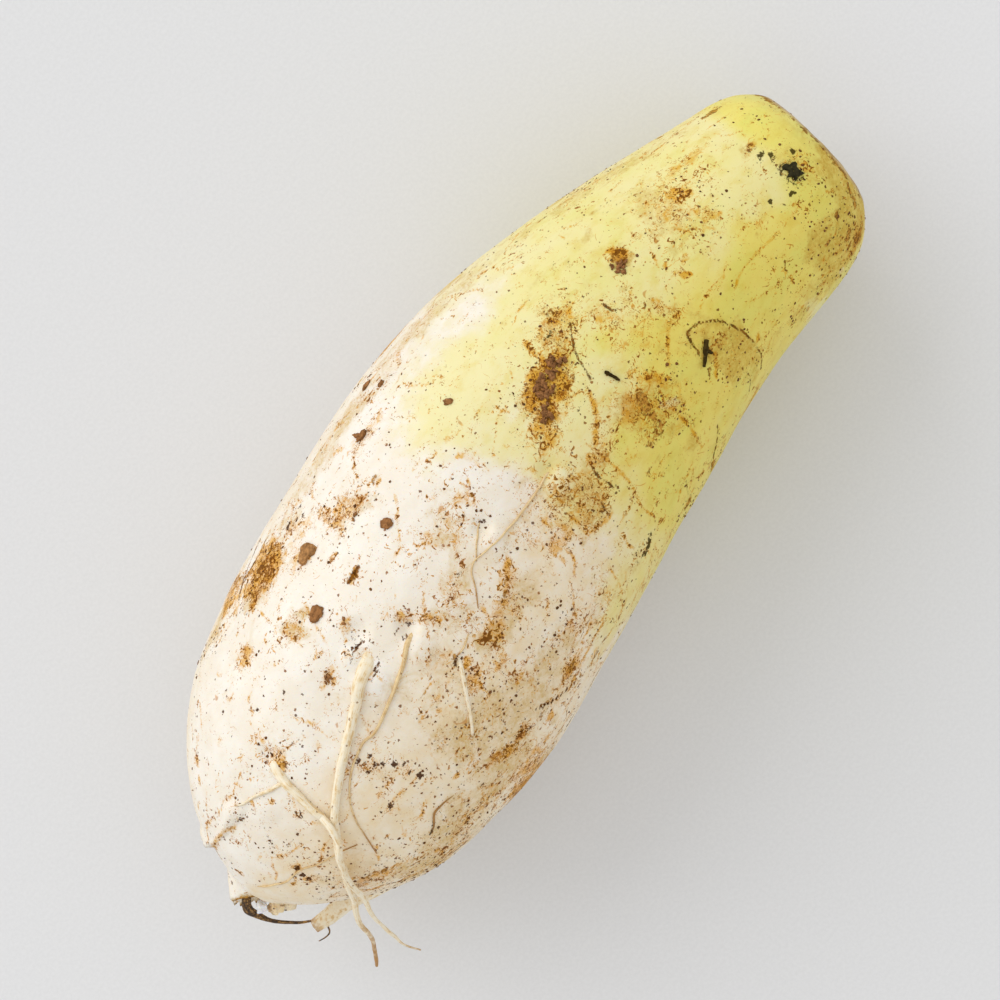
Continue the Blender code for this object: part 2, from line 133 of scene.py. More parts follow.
# Marks on the skin: along, round, length, width, strength, and for one that does not lie
# lengthwise its turn towards +Y in degrees.
DABS = {
    "dust": (
        (80, 58, 21, 15, 0.7, 4), (112, 38, 20, 13, 0.45), (94, 60, 30, 9, 0.6), (125, 66, 60, 12, 0.6),
        (170, 68, 60, 12, 0.6), (230, 66, 60, 12, 0.5), (60, 48, 20, 9, 0.35), (96, -48, 54, 24, 0.62),
        (82, -32, 20, 14, 0.8, 20), (92, -36, 26, 20, 0.6), (79, -55, 26, 18, 0.72),
        (118, -46, 26, 18, 0.3), (120, -22, 22, 12, 0.6), (109, -22, 12, 12, 0.7), (62, -58, 34, 20, 0.66),
        (48, -70, 30, 26, 0.72), (135, -58, 34, 22, 0.3), (152, -24, 22, 18, 0.55, -40),
        (158, -24, 16, 16, 0.5), (166, 8, 16, 10, 0.5), (184, -25, 22, 14, 0.6, -40),
        (212, -40, 16, 24, 0.8), (240, -62, 30, 14, 0.5), (196, -24, 16, 26, 0.3), (200, 30, 30, 14, 0.3),
        (268, -10, 10, 30, 0.45), (30, -40, 24, 18, 0.34), (24, -20, 12, 12, 0.22),
        (44, 16, 14, 10, 0.45, 20), (60, -16, 18, 9, 0.36, -60), (230, 20, 22, 24, 0.4),
        (262, 22, 6, 6, 0.5), (214, 20, 7, 7, 0.8), (186, 16, 14, 10, 0.55, 30), (148, -6, 8, 8, 0.3),
        (20, 20, 12, 9, 0.3), (205, -14, 20, 16, 0.3), (126, 8, 22, 14, 0.5, 20),
        (109, -6, 26, 15, 0.52, 30), (92, -12, 26, 15, 0.45, 20), (78, -6, 22, 12, 0.36),
        (74, 8, 18, 9, 0.3), (136, -12, 16, 12, 0.4),
    ),
    "rust": (
        (171, 6, 22, 12, 0.8, 10), (165, 1, 12, 9, 0.8), (160, -2, 12, 9, 0.62, 20),
        (187, 18, 20, 14, 0.48), (189, 21, 6, 5, 0.7), (196, 12, 16, 8, 0.4, -50), (200, 0, 22, 20, 0.35),
        (178, -16, 20, 16, 0.35), (236, 20, 30, 24, 0.35), (128, 50, 14, 6, 0.55), (134, 50, 8, 5, 0.5),
        (97, 25, 6, 3, 0.7), (97, 35, 3, 1.6, 0.9, 10), (85, 18, 5, 4, 0.6), (71, 14, 7, 4, 0.7),
        (60, 45, 9, 7, 0.62), (44, 13, 10, 6, 0.6, 50), (60, -14, 14, 5, 0.42, -55),
        (98, 3, 16, 4, 0.62, -62), (109, -20, 15, 9, 0.5, 20), (122, -17, 16, 4, 0.5, 36),
        (165, -20, 10, 6, 0.62), (130, -50, 24, 12, 0.34), (96, -24, 9, 6, 0.66), (98, -19, 4, 3, 0.9),
        (64, -24, 8, 4, 0.4, -60), (56, -6, 7, 4, 0.45), (126, 8, 14, 9, 0.36, 20),
        (109, -5, 16, 10, 0.38, 30), (136, -16, 12, 10, 0.4), (150, -18, 22, 16, 0.42, -40),
        (92, -14, 12, 8, 0.36, 20), (184, -24, 20, 12, 0.62, -45), (193, -22, 18, 5, 0.6, -60),
        (214, 22, 6, 7, 0.85), (238, 26, 8, 9, 0.7), (232, 22, 9, 9, 0.55), (238, 12, 6, 5, 0.6),
        (240, 8, 5, 4, 0.6), (221, -3, 6, 2.4, 0.85, -40), (115, -56, 11, 7, 0.75),
        (83, -50, 9, 5, 0.68, -30), (91, -52, 9, 5, 0.6), (31, -54, 15, 6, 0.66, -10), (22, -22, 4, 4, 0.7),
        (21, -33, 5, 4, 0.7), (9, 10, 4, 4, 0.55), (56, -22, 6, 4, 0.5), (121, -45, 10, 5, 0.5),
        (140, -24, 12, 8, 0.62), (208, -12, 12, 4, 0.5), (200, 4, 12, 5, 0.5, -50), (248, 40, 16, 5, 0.5),
        (52, -28, 5, 5, 0.45), (82, 8, 4, 5, 0.45), (79, 13, 4, 3, 0.6), (79, 3, 4, 2.4, 0.6),
        (92, 46, 10, 6, 0.56, 10), (99, 52, 12, 6, 0.56), (88, 54, 24, 12, 0.44), (143, 12, 9, 4, 0.5, 80),
        (118, 12, 7, 5, 0.45), (132, 8, 9, 6, 0.45), (264, -65, 12, 7, 0.6),
    ),
    "bark": (
        (171, 7, 9, 8, 0.5), (165, 1, 8, 6, 0.55), (177, 2, 5, 3, 0.6), (121, -17, 8, 2.6, 0.6, 36),
        (155, -33, 5, 2, 0.8, -40), (171, -40, 5, 2, 0.7, 20), (155, -60, 7, 3, 0.55, 10),
        (213, -33, 5, 4, 0.5), (265, 64, 9, 3, 0.85), (262, 22, 4, 3, 0.7), (213, 20, 5, 5, 0.66),
        (263, -38, 4, 2, 0.85, 30), (44, 11, 3, 1.6, 0.9, 60), (43, -59, 4, 1.8, 0.8), (37, -52, 8, 2, 0.7),
        (33, -50, 6, 2, 0.7, 20), (97, -15, 3, 1.8, 0.9, 30), (237, -66, 6, 2.4, 0.6, 20),
        (231, -64, 5, 2, 0.6, 20), (244, -60, 5, 2, 0.56, 10), (189, 24, 3, 1.8, 0.8),
        (190, 22, 2.4, 1.8, 0.8), (276, -60, 5, 3, 0.8, 60), (270, -50, 5, 3, 0.8, 30),
        (272, -43, 5, 2, 0.8, 30), (261, -54, 5, 3, 0.85, 20), (264, -66, 8, 4, 0.8),
        (255, -43, 2.4, 2.4, 0.9), (259, -60, 4, 2, 0.8), (115, -56, 6, 3, 0.66), (79, 69, 14, 2.4, 0.85),
        (88, 70, 8, 2, 0.7), (74, 60, 6, 4, 0.6), (98, 25, 4.6, 2.0, 0.95, 10), (122, 36, 5, 1.8, 0.8, 8),
        (31, -55, 7, 2.6, 0.55, -10), (44, 10, 5, 2, 0.6, 20), (83, -50, 6, 3, 0.5, -30),
        (99, -55, 9, 3, 0.55, 10), (120, -66, 24, 3, 0.6), (236, 2, 3, 1.6, 0.7, -40),
    ),
    # Black specks and spots of dried soil. The softer ones are painted shade in the dimples and crevices.
    "grime": (
        (57, -14, 2.0, 1.5, 0.95), (62, -16, 2.2, 1.5, 0.95), (63, -19, 2.8, 1.4, 0.95, -50),
        (65, -22, 2.0, 1.5, 0.95, 20), (65, -29, 3.0, 2.0, 1.0, -40), (61, -11, 1.7, 1.5, 0.95),
        (60, -14, 1.5, 1.3, 0.95), (64, -25, 1.6, 1.3, 0.95), (58, -9, 1.8, 1.4, 0.9, 40),
        (96, 60, 3, 1.6, 0.9, 20), (99, 58, 2, 1.4, 0.9), (101, 56, 2.4, 1.4, 0.9, 40),
        (103, 60, 2, 1.4, 0.9), (94, 47, 2, 1.4, 0.9), (91, 46, 2.4, 1.4, 0.9, 30),
        (22, -22, 3.0, 2.0, 0.85, 60), (21, -28, 2.4, 1.6, 0.95, 10), (19, -25, 1.6, 1.4, 0.9),
        (21, -33, 2.0, 1.6, 0.95), (53, -28, 2.4, 1.8, 0.95, 20), (50, -27, 1.5, 1.2, 0.9),
        (36, -5, 2.8, 1.1, 0.8, 50), (81, 3, 1.7, 1.3, 0.9), (82, 12, 1.7, 1.3, 0.9),
        (79, 13, 1.7, 1.3, 0.9), (60, 24, 1.7, 1.4, 0.9), (51, 30, 1.7, 1.4, 0.9),
        (155, -60, 5, 2.2, 0.9, 30), (152, -61, 3, 1.6, 0.9, -40), (157, -58, 3, 1.4, 0.8, 10),
        (264, -65, 3, 1.6, 0.6, 10), (44, 17, 1.6, 1.3, 0.9), (46, 14, 1.8, 1.3, 0.9),
        (73, -52, 2.4, 1.4, 0.8, 20), (93, -54, 3.0, 1.4, 0.8, 10), (71, -60, 2.6, 1.4, 0.8, 30),
        (155, -9, 2.0, 1.6, 0.7), (131.4, -1, 2.0, 1.8, 0.8), (96.2, 2.6, 2.0, 1.8, 0.8),
        (84, 14, 4, 2, 0.45, 70), (262, 15, 4, 2.6, 0.8, 20), (264, 11, 4, 2.4, 0.8, 60),
        (269, 3, 2.8, 2, 0.9, 40), (259, -10, 2.4, 2, 0.95), (264, -4, 9, 9, 0.54),
        (206, -24, 5, 2.4, 0.5, -50), (184, 18, 4, 2.6, 0.6), (116, -3, 3, 2.4, 0.5),
        (84, -32, 12, 9, 0.35), (91, -52, 9, 6, 0.42), (23, 17, 4, 2.4, 0.5), (97, 42, 3, 3, 0.4),
        (173, -6, 4, 4, 0.4), (205, -13, 5, 3, 0.3), (253, -5, 1.8, 1.6, 0.95),
    ),
    # Painted highlights on the swellings beside the side roots, and a few other whiter patches.
    "pale": (
        (153, -15, 7, 8, 0.8, 20), (129, -7, 7, 8, 0.9), (93, -4, 7, 8, 1.0), (79, 2.5, 8, 9, 1.0),
        (112, -8, 6, 5, 0.9), (190, -32, 7, 3.4, 0.9, -45), (70, 33, 26, 22, 0.35),
        (253, -68, 2.4, 2.4, 1.0), (118, 34, 9, 5, 0.5), (100, 20, 24, 12, 0.3), (118, -40, 12, 9, 0.5),
        (100, -34, 9, 9, 0.3), (143, -38, 7, 7, 0.5),
    ),
    "specks": (
        (60, -17, 20, 9, 1.0, -60), (98, 3, 18, 5, 1.0, -62), (80, 60, 26, 12, 0.8),
        (96, -32, 26, 26, 0.75), (82, -38, 30, 26, 0.7), (118, -40, 40, 30, 0.45), (44, -60, 50, 34, 0.75),
        (26, -40, 22, 20, 0.8), (22, 2, 14, 16, 0.7), (24, 18, 10, 8, 1.0), (171, 6, 30, 18, 0.8),
        (186, 18, 14, 12, 0.7), (150, -28, 34, 26, 0.4, -30), (190, -26, 26, 30, 0.45),
        (212, -42, 18, 26, 0.6), (235, 18, 26, 26, 0.4), (262, -46, 26, 34, 0.75), (264, -4, 16, 14, 0.8),
        (44, 14, 18, 14, 0.7), (60, 44, 14, 10, 0.5), (131, 2, 12, 10, 0.7), (110, 38, 26, 16, 0.5),
        (84, 10, 10, 12, 0.9), (98, -18, 10, 10, 0.8), (52, -28, 5, 5, 1.0), (66, -30, 12, 8, 0.5),
        (214, 18, 8, 8, 0.9), (9, 16, 8, 8, 0.6), (155, -58, 12, 9, 0.8), (245, -50, 40, 24, 0.4),
    ),
}
STROKES = {  # a layer's lines: strength, width in millimetres, then places along and round
    "rust": (
        (0.9, 2.6, (127, -14), (122, -17), (117, -20)), (0.7, 1.8, (113, -14), (110, -20), (106, -24)),
        (0.8, 1.1, (227, -22), (232, -19), (238, -18), (243, -18), (247, -18)),
        (0.6, 1.3, (247, -18), (251, -18), (256, -17)),
        (0.9, 1.9, (178, -5), (174, -12), (170, -15), (167, -18)),
        (0.9, 1.1, (166, -14), (166, -20), (166, -28), (165, -36), (162, -46), (162, -54)),
        (1.0, 1.5, (148, -24), (147, -32), (154, -36)),
        (0.9, 1.2, (142, -16), (141, -22), (140, -25), (139, -32), (135, -36)),
        (0.8, 0.9, (131, -39), (127, -43), (124, -48), (117, -52)),
        (0.9, 1.0, (191, -24), (189, -30), (189, -37), (188, -47), (186, -57)),
        (0.8, 1.3, (206, -13), (202, -17), (198, -22)), (0.8, 1.7, (209, -35), (204, -42)),
        (1.0, 2.0, (178, 22), (177, 18), (177, 13)), (0.8, 0.9, (194, 5), (194, 1)),
        (0.6, 0.8, (193, -2), (195, -4), (197, -6)), (0.5, 1.2, (155, 41), (158, 33)),
        (0.5, 1.2, (151, 43), (155, 35)), (0.9, 0.9, (136, 11), (135, 5)), (0.8, 0.9, (139, 12), (137, 8)),
        (1.0, 1.4, (99, 34), (96, 35)), (0.8, 1.0, (46, 24), (43, 15)),
        (0.9, 1.0, (18, 35), (14, 46), (11, 51), (10, 46)),
        # The first stroke below is painted shadow in the crevice under the sliced knob, with the brown of
        # the crumbs there.
        (0.9, 1.6, (10, 45), (13, 33), (16, 25), (20, 19)), (0.8, 0.9, (34, 20), (36, 18), (38, 16)),
        (0.8, 0.9, (41, 22), (42, 16)), (0.8, 0.9, (60, -37), (57, -39), (55, -41)),
        (0.8, 0.9, (64, -44), (58, -44)), (0.8, 1.0, (29, -53), (33, -51), (38, -52), (46, -58)),
        (0.7, 1.0, (36, -68), (46, -72), (56, -74)), (0.8, 0.9, (75, -11), (77, -11), (77, -13)),
        (0.9, 1.2, (131, -58), (120, -60), (108, -62)), (0.8, 1.1, (138, -66), (122, -68)),
        (0.9, 1.1, (112, -66), (98, -68), (88, -66)), (0.8, 1.0, (150, -70), (136, -74)),
        (0.8, 1.0, (104, -74), (88, -75), (70, -74)), (0.7, 1.0, (84, -62), (70, -66)),
        (0.8, 1.0, (176, -70), (160, -74), (146, -80)), (0.7, 1.0, (62, -60), (48, -64)),
        (0.8, 0.8, (54, 10), (50, 12), (47, 14), (44, 15)),
        (0.8, 0.8, (109, 50), (112, 44), (116, 40), (113, 34)), (0.7, 0.8, (104, 72), (99, 68), (93, 62)),
        (0.7, 0.8, (120, 70), (130, 68), (150, 69), (170, 70)), (0.7, 0.8, (135, 64), (142, 62), (150, 63)),
        (0.7, 0.8, (200, 72), (220, 70), (240, 71)), (0.7, 0.9, (155, -16), (150, -22), (147, -32)),
        (0.6, 0.8, (200, 10), (196, 0), (192, -6)), (0.6, 0.8, (141, 11), (136, 14), (133, 15)),
    ),
    "line": (
        (0.95, 0.9, (208, -20), (211, -20), (213, -21), (217, -27), (219, -38), (219, -48)),
        (0.85, 0.9, (219, -48), (218, -58), (215, -66)), (0.95, 1.0, (208, -20), (207, -24), (206, -29)),
        (0.7, 0.9, (212, -48), (211, -54), (211, -60), (208, -68)),
        (0.9, 0.9, (200, 11), (200, 8), (201, 6), (202, 5)),
        (1.0, 1.0, (100, -52), (104, -57), (108, -60), (111, -63)),
        (0.8, 0.8, (243, -30), (241, -34), (241, -36)),
        (0.6, 0.8, (226, 42), (226, 46), (223, 48), (221, 45), (223, 42), (226, 42)),
        (0.5, 0.7, (204, 34), (203, 37), (200, 37), (199, 34), (201, 32), (204, 34)),
        (0.9, 0.9, (162, -21), (161, -24), (161, -28), (162, -33)),
        (0.8, 0.9, (156, -30), (155, -33), (154, -36)), (0.8, 0.8, (194, -60), (190, -66), (185, -71)),
        (0.9, 1.0, (88, 78), (82, 74), (76, 70), (71, 66)),
        (0.5, 0.8, (138, 74), (160, 72), (185, 73), (210, 72)),
        (0.9, 1.0, (31, -64), (40, -72), (54, -76), (66, -77)),
        (0.8, 1.0, (98, -80), (118, -82), (140, -82)), (0.8, 0.8, (36, -2), (35, -4), (35, -6)),
        (0.7, 0.8, (61, 2), (62, 0)), (0.8, 0.9, (190, 15), (187, 11), (184, 6), (183, 3), (181, -3)),
        (0.8, 0.9, (194, -59), (190, -66), (186, -72)), (0.7, 0.9, (176, -60), (173, -70), (173, -82)),
        # The last stroke below is painted shadow in the crevice under the sliced knob.
        (0.7, 0.8, (54, 11), (51, 12), (48, 13)), (0.5, 0.8, (11, 45), (14, 33), (17, 25)),
        (0.6, 0.9, (183, 23), (182, 18), (183, 14), (184, 6)), (1.0, 1.4, (100, 25), (95, 25)),
        (0.85, 1.0, (85, 11), (82, 11.5), (78, 10)), (0.8, 0.9, (83, 3), (80, 2), (76, 1.5)),
        (0.85, 0.9, (94, 1), (92, -1), (88, -2.5)), (0.7, 0.8, (94, 4), (92, 4)),
        (0.8, 1.1, (8, 52), (10, 51)), (0.8, 1.0, (5, 83), (4, 60), (3, 30)),
        (0.8, 0.9, (82, 69), (76, 66), (71, 62)), (0.8, 0.9, (58, -44), (53, -50)),
    ),
    # A dark crack, and short strokes of painted shade in the dimples by the side roots.
    "grime": (
        (0.95, 1.1, (99, -51), (102, -55), (105, -58)), (0.9, 0.9, (105, -58), (108, -61), (113, -64)),
        (0.9, 1.3, (97, -16), (95, -16)), (0.9, 0.9, (94, 2.5), (92, 1)), (0.9, 0.8, (84, 11), (82, 11)),
    ),
}
PATCHES = {  # a layer's blotches: strength, then the corners along and round
    "dust": (
        (
            0.72, (208, -19), (214, -21), (219, -37), (220, -50), (216, -67), (209, -66), (211, -54),
            (206, -34),
        ),
        (0.7, (80, 38), (84, 32), (77, 26), (70, 32), (73, 37)),
        (
            0.75, (277, -2), (270, -18), (264, -34), (254, -28), (246, -38), (246, -52), (254, -70),
            (277, -80),
        ),
        (0.45, (193, -18), (196, -30), (190, -44), (180, -40), (178, -22), (184, -14)),
    ),
    "rust": (
        (0.74, (71, 60), (72, 53), (78, 51), (86, 51), (91, 58), (90, 68), (82, 70), (74, 67)),
        (0.36, (80, 37), (83, 32), (77, 27), (71, 32), (73, 36)),
        (0.6, (106, 53), (108, 48), (112, 42), (117, 38), (115, 32), (109, 35), (101, 45)),
        (0.5, (155, -16), (163, -29), (158, -34), (154, -36), (147, -32), (148, -24)),
        (0.42, (196, -30), (188, -19), (176, -30), (180, -42), (190, -44)),
        (0.5, (130, -10), (127, -20), (117, -24), (112, -18), (124, -13)),
    ),
    "bark": (
        (0.72, (189, -19), (187, -26), (184, -31), (182, -27), (184, -20)),
        (0.64, (182, -31), (184, -38), (179, -40), (177, -33)),
    ),
}
# Small marks strewn over the side seen from above: layer, dabs, strokes, along from and to, round
# from and to, and the usual turn of a stroke.
STREWN = (
    ("rust", 130, 50, 14, 150, 0, 66, 0), ("rust", 170, 110, 14, 172, -78, -2, 20),
    ("rust", 130, 80, 148, 268, -76, 58, -30), ("bark", 10, 16, 14, 172, -78, 0, 20),
    ("bark", 8, 18, 150, 270, -70, 50, -30), ("bark", 5, 18, 60, 250, 60, 78, 5),
    ("rust", 40, 40, 60, 262, 58, 80, 5), ("dust", 40, 0, 20, 180, -70, -10, 20),
    ("dust", 34, 0, 150, 262, -60, 50, -30), ("bark", 10, 24, 30, 240, -80, -62, -3),
    ("rust", 20, 44, 30, 200, -80, -56, -2),
)
HIDDEN_DABS = 150  # marks strewn over the flanks and the underside
HIDDEN_SEED = 23

# Side roots and hairs, in millimetres of the layout: places (x, y) that each passes on the skin,
# then places (x, y, height) where it hangs loose. Widths are pairs of a share of the way along and
# a width there. Kink is how far the line wanders. What a root leaves out is as in STRAND.
STRAND = {"skin": (), "loose": (), "slot": "root_hair", "kink": 0.3, "sides": 8}
ROOTS = {
    "side_root_thick": {
        "skin": (
            (84.6, 15.8), (81.0, 14.2), (76.5, 12.2), (70.5, 9.3), (61.5, 5.2), (52.0, 0.8), (42.5, -4.5),
        ),
        "loose": (
            (34.5, -11.7, 93.2), (26.5, -21.1, 81.5), (23.6, -24.9, 75.0), (18.7, -29.9, 67.0),
            (16.1, -35.9, 59.0), (12.6, -39.8, 53.0), (8.8, -43.2, 47.0),
        ),
        "widths": (
            (0, 6.6), (0.03, 5.4), (0.07, 4.0), (0.13, 3.0), (0.3, 2.5), (0.5, 2.2), (0.68, 2.0),
            (0.78, 1.6), (0.9, 1.25), (0.97, 1.2), (1, 0.9),
        ),
        "slot": "side_root", "finish": "tipped_root", "kink": 0.25, "sides": 20,
    },
    "side_root_left": {
        "skin": ((43.0, 18.6), (42.2, 17.0), (40.6, 12.2), (40.2, 6.9), (39.4, 0.0)),
        "loose": (
            (38.4, -6.6, 98.4), (36.4, -10.6, 97.8), (33.4, -13.2, 96.2), (29.8, -17.8, 90.8),
            (27.8, -22.0, 85.2), (26.0, -26.6, 78.2), (23.0, -31.8, 71.2), (21.4, -38.0, 65.0),
            (20.5, -44.6, 60.0), (21.6, -49.6, 57.0),
        ),
        "widths": (
            (0, 4.4), (0.03, 3.6), (0.07, 2.9), (0.12, 2.5), (0.3, 2.1), (0.6, 1.8), (0.7, 1.5), (0.8, 1.0),
            (0.86, 1.2), (0.93, 0.7), (1, 0.5),
        ),
        "slot": "side_root", "sides": 16,
    },
    "side_root_thin": {
        "skin": (
            (95.8, 9.8), (93.0, 8.6), (87.0, 5.8), (79.5, 3.3), (73.5, 1.7), (66.8, 0.4), (63.0, 1.2),
            (60.0, 0.6), (54.0, -1.4), (47.4, -6.0), (43.5, -11.4), (39.5, -21.2),
        ),
        "widths": ((0, 2.6), (0.04, 1.8), (0.11, 1.3), (0.4, 0.85), (0.6, 0.6), (1, 0.35)),
        "sides": 10,
    },
    "side_root_short": {
        "skin": ((98.4, -5.4), (96.4, -6.8), (92.2, -11.4), (86.9, -17.4), (82.2, -21.8)),
        "widths": ((0, 1.9), (0.1, 1.6), (0.6, 1.1), (0.95, 0.9), (1, 0.6)),
        "slot": "side_root", "kink": 0.15, "sides": 12,
    },
    "shoulder_root_hair": {
        "skin": (
            (154.4, 6.6), (152.6, 6.8), (146.2, 6.0), (138.6, 5.7), (131.0, 6.1), (124.5, 7.3),
            (121.0, 7.8), (118.4, 6.6), (116.5, 4.0), (114.0, 1.3), (111.7, -1.0),
        ),
        "widths": ((0, 1.2), (0.08, 0.75), (0.5, 0.55), (0.75, 0.45), (1, 0.3)),
        "kink": 0.25,
    },
    "middle_root_hair": {
        "skin": ((131.5, 13.4), (130.0, 13.0), (127.0, 11.2), (124.7, 9.8), (121.6, 7.4)),
        "widths": ((0, 1.0), (0.2, 0.6), (1, 0.3)),
        "kink": 0.2,
    },
    "tail_root_hair": {
        "skin": (
            (8.4, -0.4), (10.5, -2.0), (13.0, -4.0), (16.4, -6.2), (21.7, -7.2), (26.5, -10.1),
            (32.1, -12.1), (38.4, -15.1),
        ),
        "widths": ((0, 0.7), (0.3, 0.55), (0.6, 0.5), (1, 0.3)),
    },
    "side_root_flat": {
        "skin": ((40.8, 10.6), (38.8, 12.0), (34.7, 13.9), (30.4, 16.0), (27.3, 17.0), (25.6, 18.4)),
        "widths": ((0, 1.8), (0.3, 1.1), (0.8, 0.75), (1, 0.45)),
        "slot": "side_root",
    },
    "forked_root_hair": {
        "skin": (
            (66.4, -28.2), (65.0, -28.0), (62.0, -27.2), (58.3, -26.9), (54.8, -29.2), (52.4, -29.8),
        ),
        "widths": ((0, 0.3), (0.3, 0.5), (0.5, 0.7), (0.7, 0.6), (1, 0.3)),
        "slot": "dried_fibre", "finish": "brown_hair",
    },
    "stray_root_hair": {
        "skin": ((105.5, -3.0), (100.8, -4.6), (97.8, -4.6)),
        "widths": ((0, 0.4), (0.5, 0.6), (1, 0.4)),
        "kink": 0.2, "sides": 6,
    },
    "side_root_stub": {
        "loose": (
            (31.0, -30.6, 33.5), (23.8, -27.6, 35.5), (16.9, -25.0, 36.0), (11.1, -23.6, 36.0),
            (5.2, -22.0, 36.0),
        ),
        "widths": ((0, 8.0), (0.3, 6.6), (0.7, 5.6), (0.97, 4.6), (1, 4.3)),
        "slot": "side_root", "sides": 24,
    },
    "stub_root_hair": {
        "loose": ((7.4, -25.4, 36.0), (6.2, -26.6, 34.0), (4.5, -26.8, 32.0), (1.4, -26.0, 29.0)),
        "widths": ((0, 0.6), (1, 0.35)),
        "slot": "dried_fibre", "kink": 0.2, "sides": 6,
    },
    "dried_tail_fibre": {
        "loose": (
            (2.2, -0.4, 53.0), (0.6, -1.4, 51.6), (-0.6, -2.8, 50.2), (-0.9, -5.0, 48.8),
            (-0.6, -8.0, 47.6), (0.7, -11.7, 46.4), (3.6, -16.3, 45.0), (6.9, -19.9, 44.0),
        ),
        "widths": ((0, 2.6), (0.2, 3.0), (0.34, 2.2), (0.5, 1.3), (0.8, 0.95), (1, 0.7)),
        "slot": "dried_fibre", "kink": 0.25, "sides": 12,
    },
}
FLANK_ROOTS = {  # places along and round, and the width
    "far_flank_root": (((119, 116), (108, 125), (97, 129), (88, 136), (80, 137)), 1.3),
    "near_flank_root": (((93, -120), (84, -130), (75, -133), (68, -139)), 1.1),
}
TWIGS = {  # branches, each with its places on the skin and its widths
    "twig_bit_short": (
        (
            ((185.0, 11.6), (185.6, 9.1), (185.8, 6.8)),
            ((0, 0.8), (0.2, 1.2), (0.5, 0.8), (0.8, 1.1), (1, 0.6)),
        ),
    ),
    "twig_bit_dark": (
        (((210.4, -5.4), (207.6, -7.0), (204.2, -9.4)), ((0, 1.5), (0.3, 1.6), (0.7, 1.1), (1, 0.9))),
        (((208.0, -7.0), (208.4, -8.8)), ((0, 1.4), (1, 0.8))),
    ),
}

# Crumbs of dried soil: length, width, height, turn, how many lumps and how angular.
CRUMBS = (
    (3.6, 2.8, 1.4, 20, 2, 0.5), (3.6, 2.2, 1.2, 20, 1, 0.5), (6.4, 3.4, 1.8, 5, 2, 0.6),
    (3.0, 2.2, 1.2, -50, 1, 0.3), (3.6, 3.0, 1.5, -50, 1, 0.3), (3.0, 2.0, 0.9, 10, 2, 0.6),
    (6.6, 5.4, 1.0, 0, 1, 1.0), (4.6, 4.0, 1.7, 10, 1, 0.4), (2.6, 1.8, 0.9, 30, 2, 0.6),
    (5.4, 2.6, 1.2, 10, 7, 0.8), (6.0, 4.6, 1.6, -20, 16, 0.9), (8.0, 5.4, 1.6, 10, 22, 1.0),
    (6.0, 4.4, 1.4, 20, 16, 1.0), (6.0, 4.0, 1.2, 0, 12, 0.9), (5.8, 5.2, 0.9, 0, 26, 1.1),
)
SLABS = {  # the flat ones by number: finish, then corners in millimetres
    7: ("soil_slab", (
        (0.6, 3.4), (2.6, 2.6), (3.3, 0.4), (3.4, -1.8), (1.2, -2.6), (-0.4, -1.6), (-2.8, -2.4),
        (-3.6, -0.1), (-2.2, 1.6), (-0.8, 2.2),
    )),
    15: ("soil_black", (
        (3.0, 1.2), (2.6, 0.3), (1.9, 0.1), (1.4, -0.8), (1.5, -2.1), (1.9, -3.1), (0.5, -2.5),
        (-1.1, -2.4), (-2.3, -2.3), (-1.5, -1.2), (-2.2, -0.1), (-3.3, 0.4), (-1.6, 0.6), (-0.9, 1.2),
        (-1.6, 2.6), (-1.1, 3.5), (0.1, 3.4), (0.7, 2.2), (1.6, 2.0), (2.3, 1.7),
    )),
}
CRUMB_SEED = 5

# Lumps of torn flesh under the broken tail: middle, size and how broken it is.
TORN_FLESH = {
    "torn_flesh_white": ((2.7, -5.5, 52.6), (3.4, 4.6, 3.6), 0.42),
    "torn_flesh_beige": ((4.9, -8.9, 51.8), (4.9, 4.9, 3.4), 0.36),
    "torn_flesh_clear": ((7.6, -11.4, 50.4), (5.2, 4.0, 3.4), 0.2),
}

# The studio. The lumps of torn flesh are turned as the camera is.
CAMERA_TURN = -52  # degrees
CAMERA_OVER = (0.33 * MM, 3.91 * MM)
SENSOR = 36  # millimetres wide
LAMP_FROM = Vector((-0.12, 0.88, 0.48))
LAMP_SPREAD = 60  # degrees
TABLE_REACH = 1.6  # from the middle to each side


def screen(red, green, blue):
    """A colour given in screen steps of 0 to 255, as linear light."""
    shares = (step / 255 for step in (red, green, blue))
    return tuple(s / 12.92 if s <= 0.04045 else ((s + 0.055) / 1.055) ** 2.4 for s in shares)


def colour_setting(name, about, red, green, blue):
    """A setting for a colour, first given in screen steps."""
    return bpy.props.FloatVectorProperty(
        name=name, description=about, subtype="COLOR", size=3, min=0, max=1,
        default=screen(red, green, blue),
    )


def length_setting(name, about, default):
    """A setting for a length in metres."""
    return bpy.props.FloatProperty(
        name=name, description=about, default=default, min=0, unit="LENGTH", precision=5
    )


class RadishSkinSettings(bpy.types.PropertyGroup):
    rings: bpy.props.IntProperty(
        name="Rings", description="Rings of faces from the tail to the crown", default=400, min=80
    )
    sides: bpy.props.IntProperty(
        name="Sides", description="Faces round the root", default=248, min=48
    )
    lumpiness: length_setting("Lumpiness", "Height of the gentle lumps", 0.55 * MM)
    flesh: colour_setting("Flesh", "The white lower part", 238, 232, 221)
    shoulder: colour_setting("Shoulder", "The part that grew above the soil", 236, 229, 172)
    crown: colour_setting("Crown", "The skin next to the leaves", 232, 220, 108)
    dust: colour_setting("Dust", "Dried soil rubbed into the skin", 215, 186, 122)
    rust: colour_setting("Rust", "Scuffs and stains", 220, 156, 50)
    bark: colour_setting("Bark", "Corky scars", 108, 62, 10)
    # The colour of the dark specks and of the painted shade in hollows and crevices.
    grime: colour_setting("Grime", "Dark hollows and specks", 72, 36, 5)


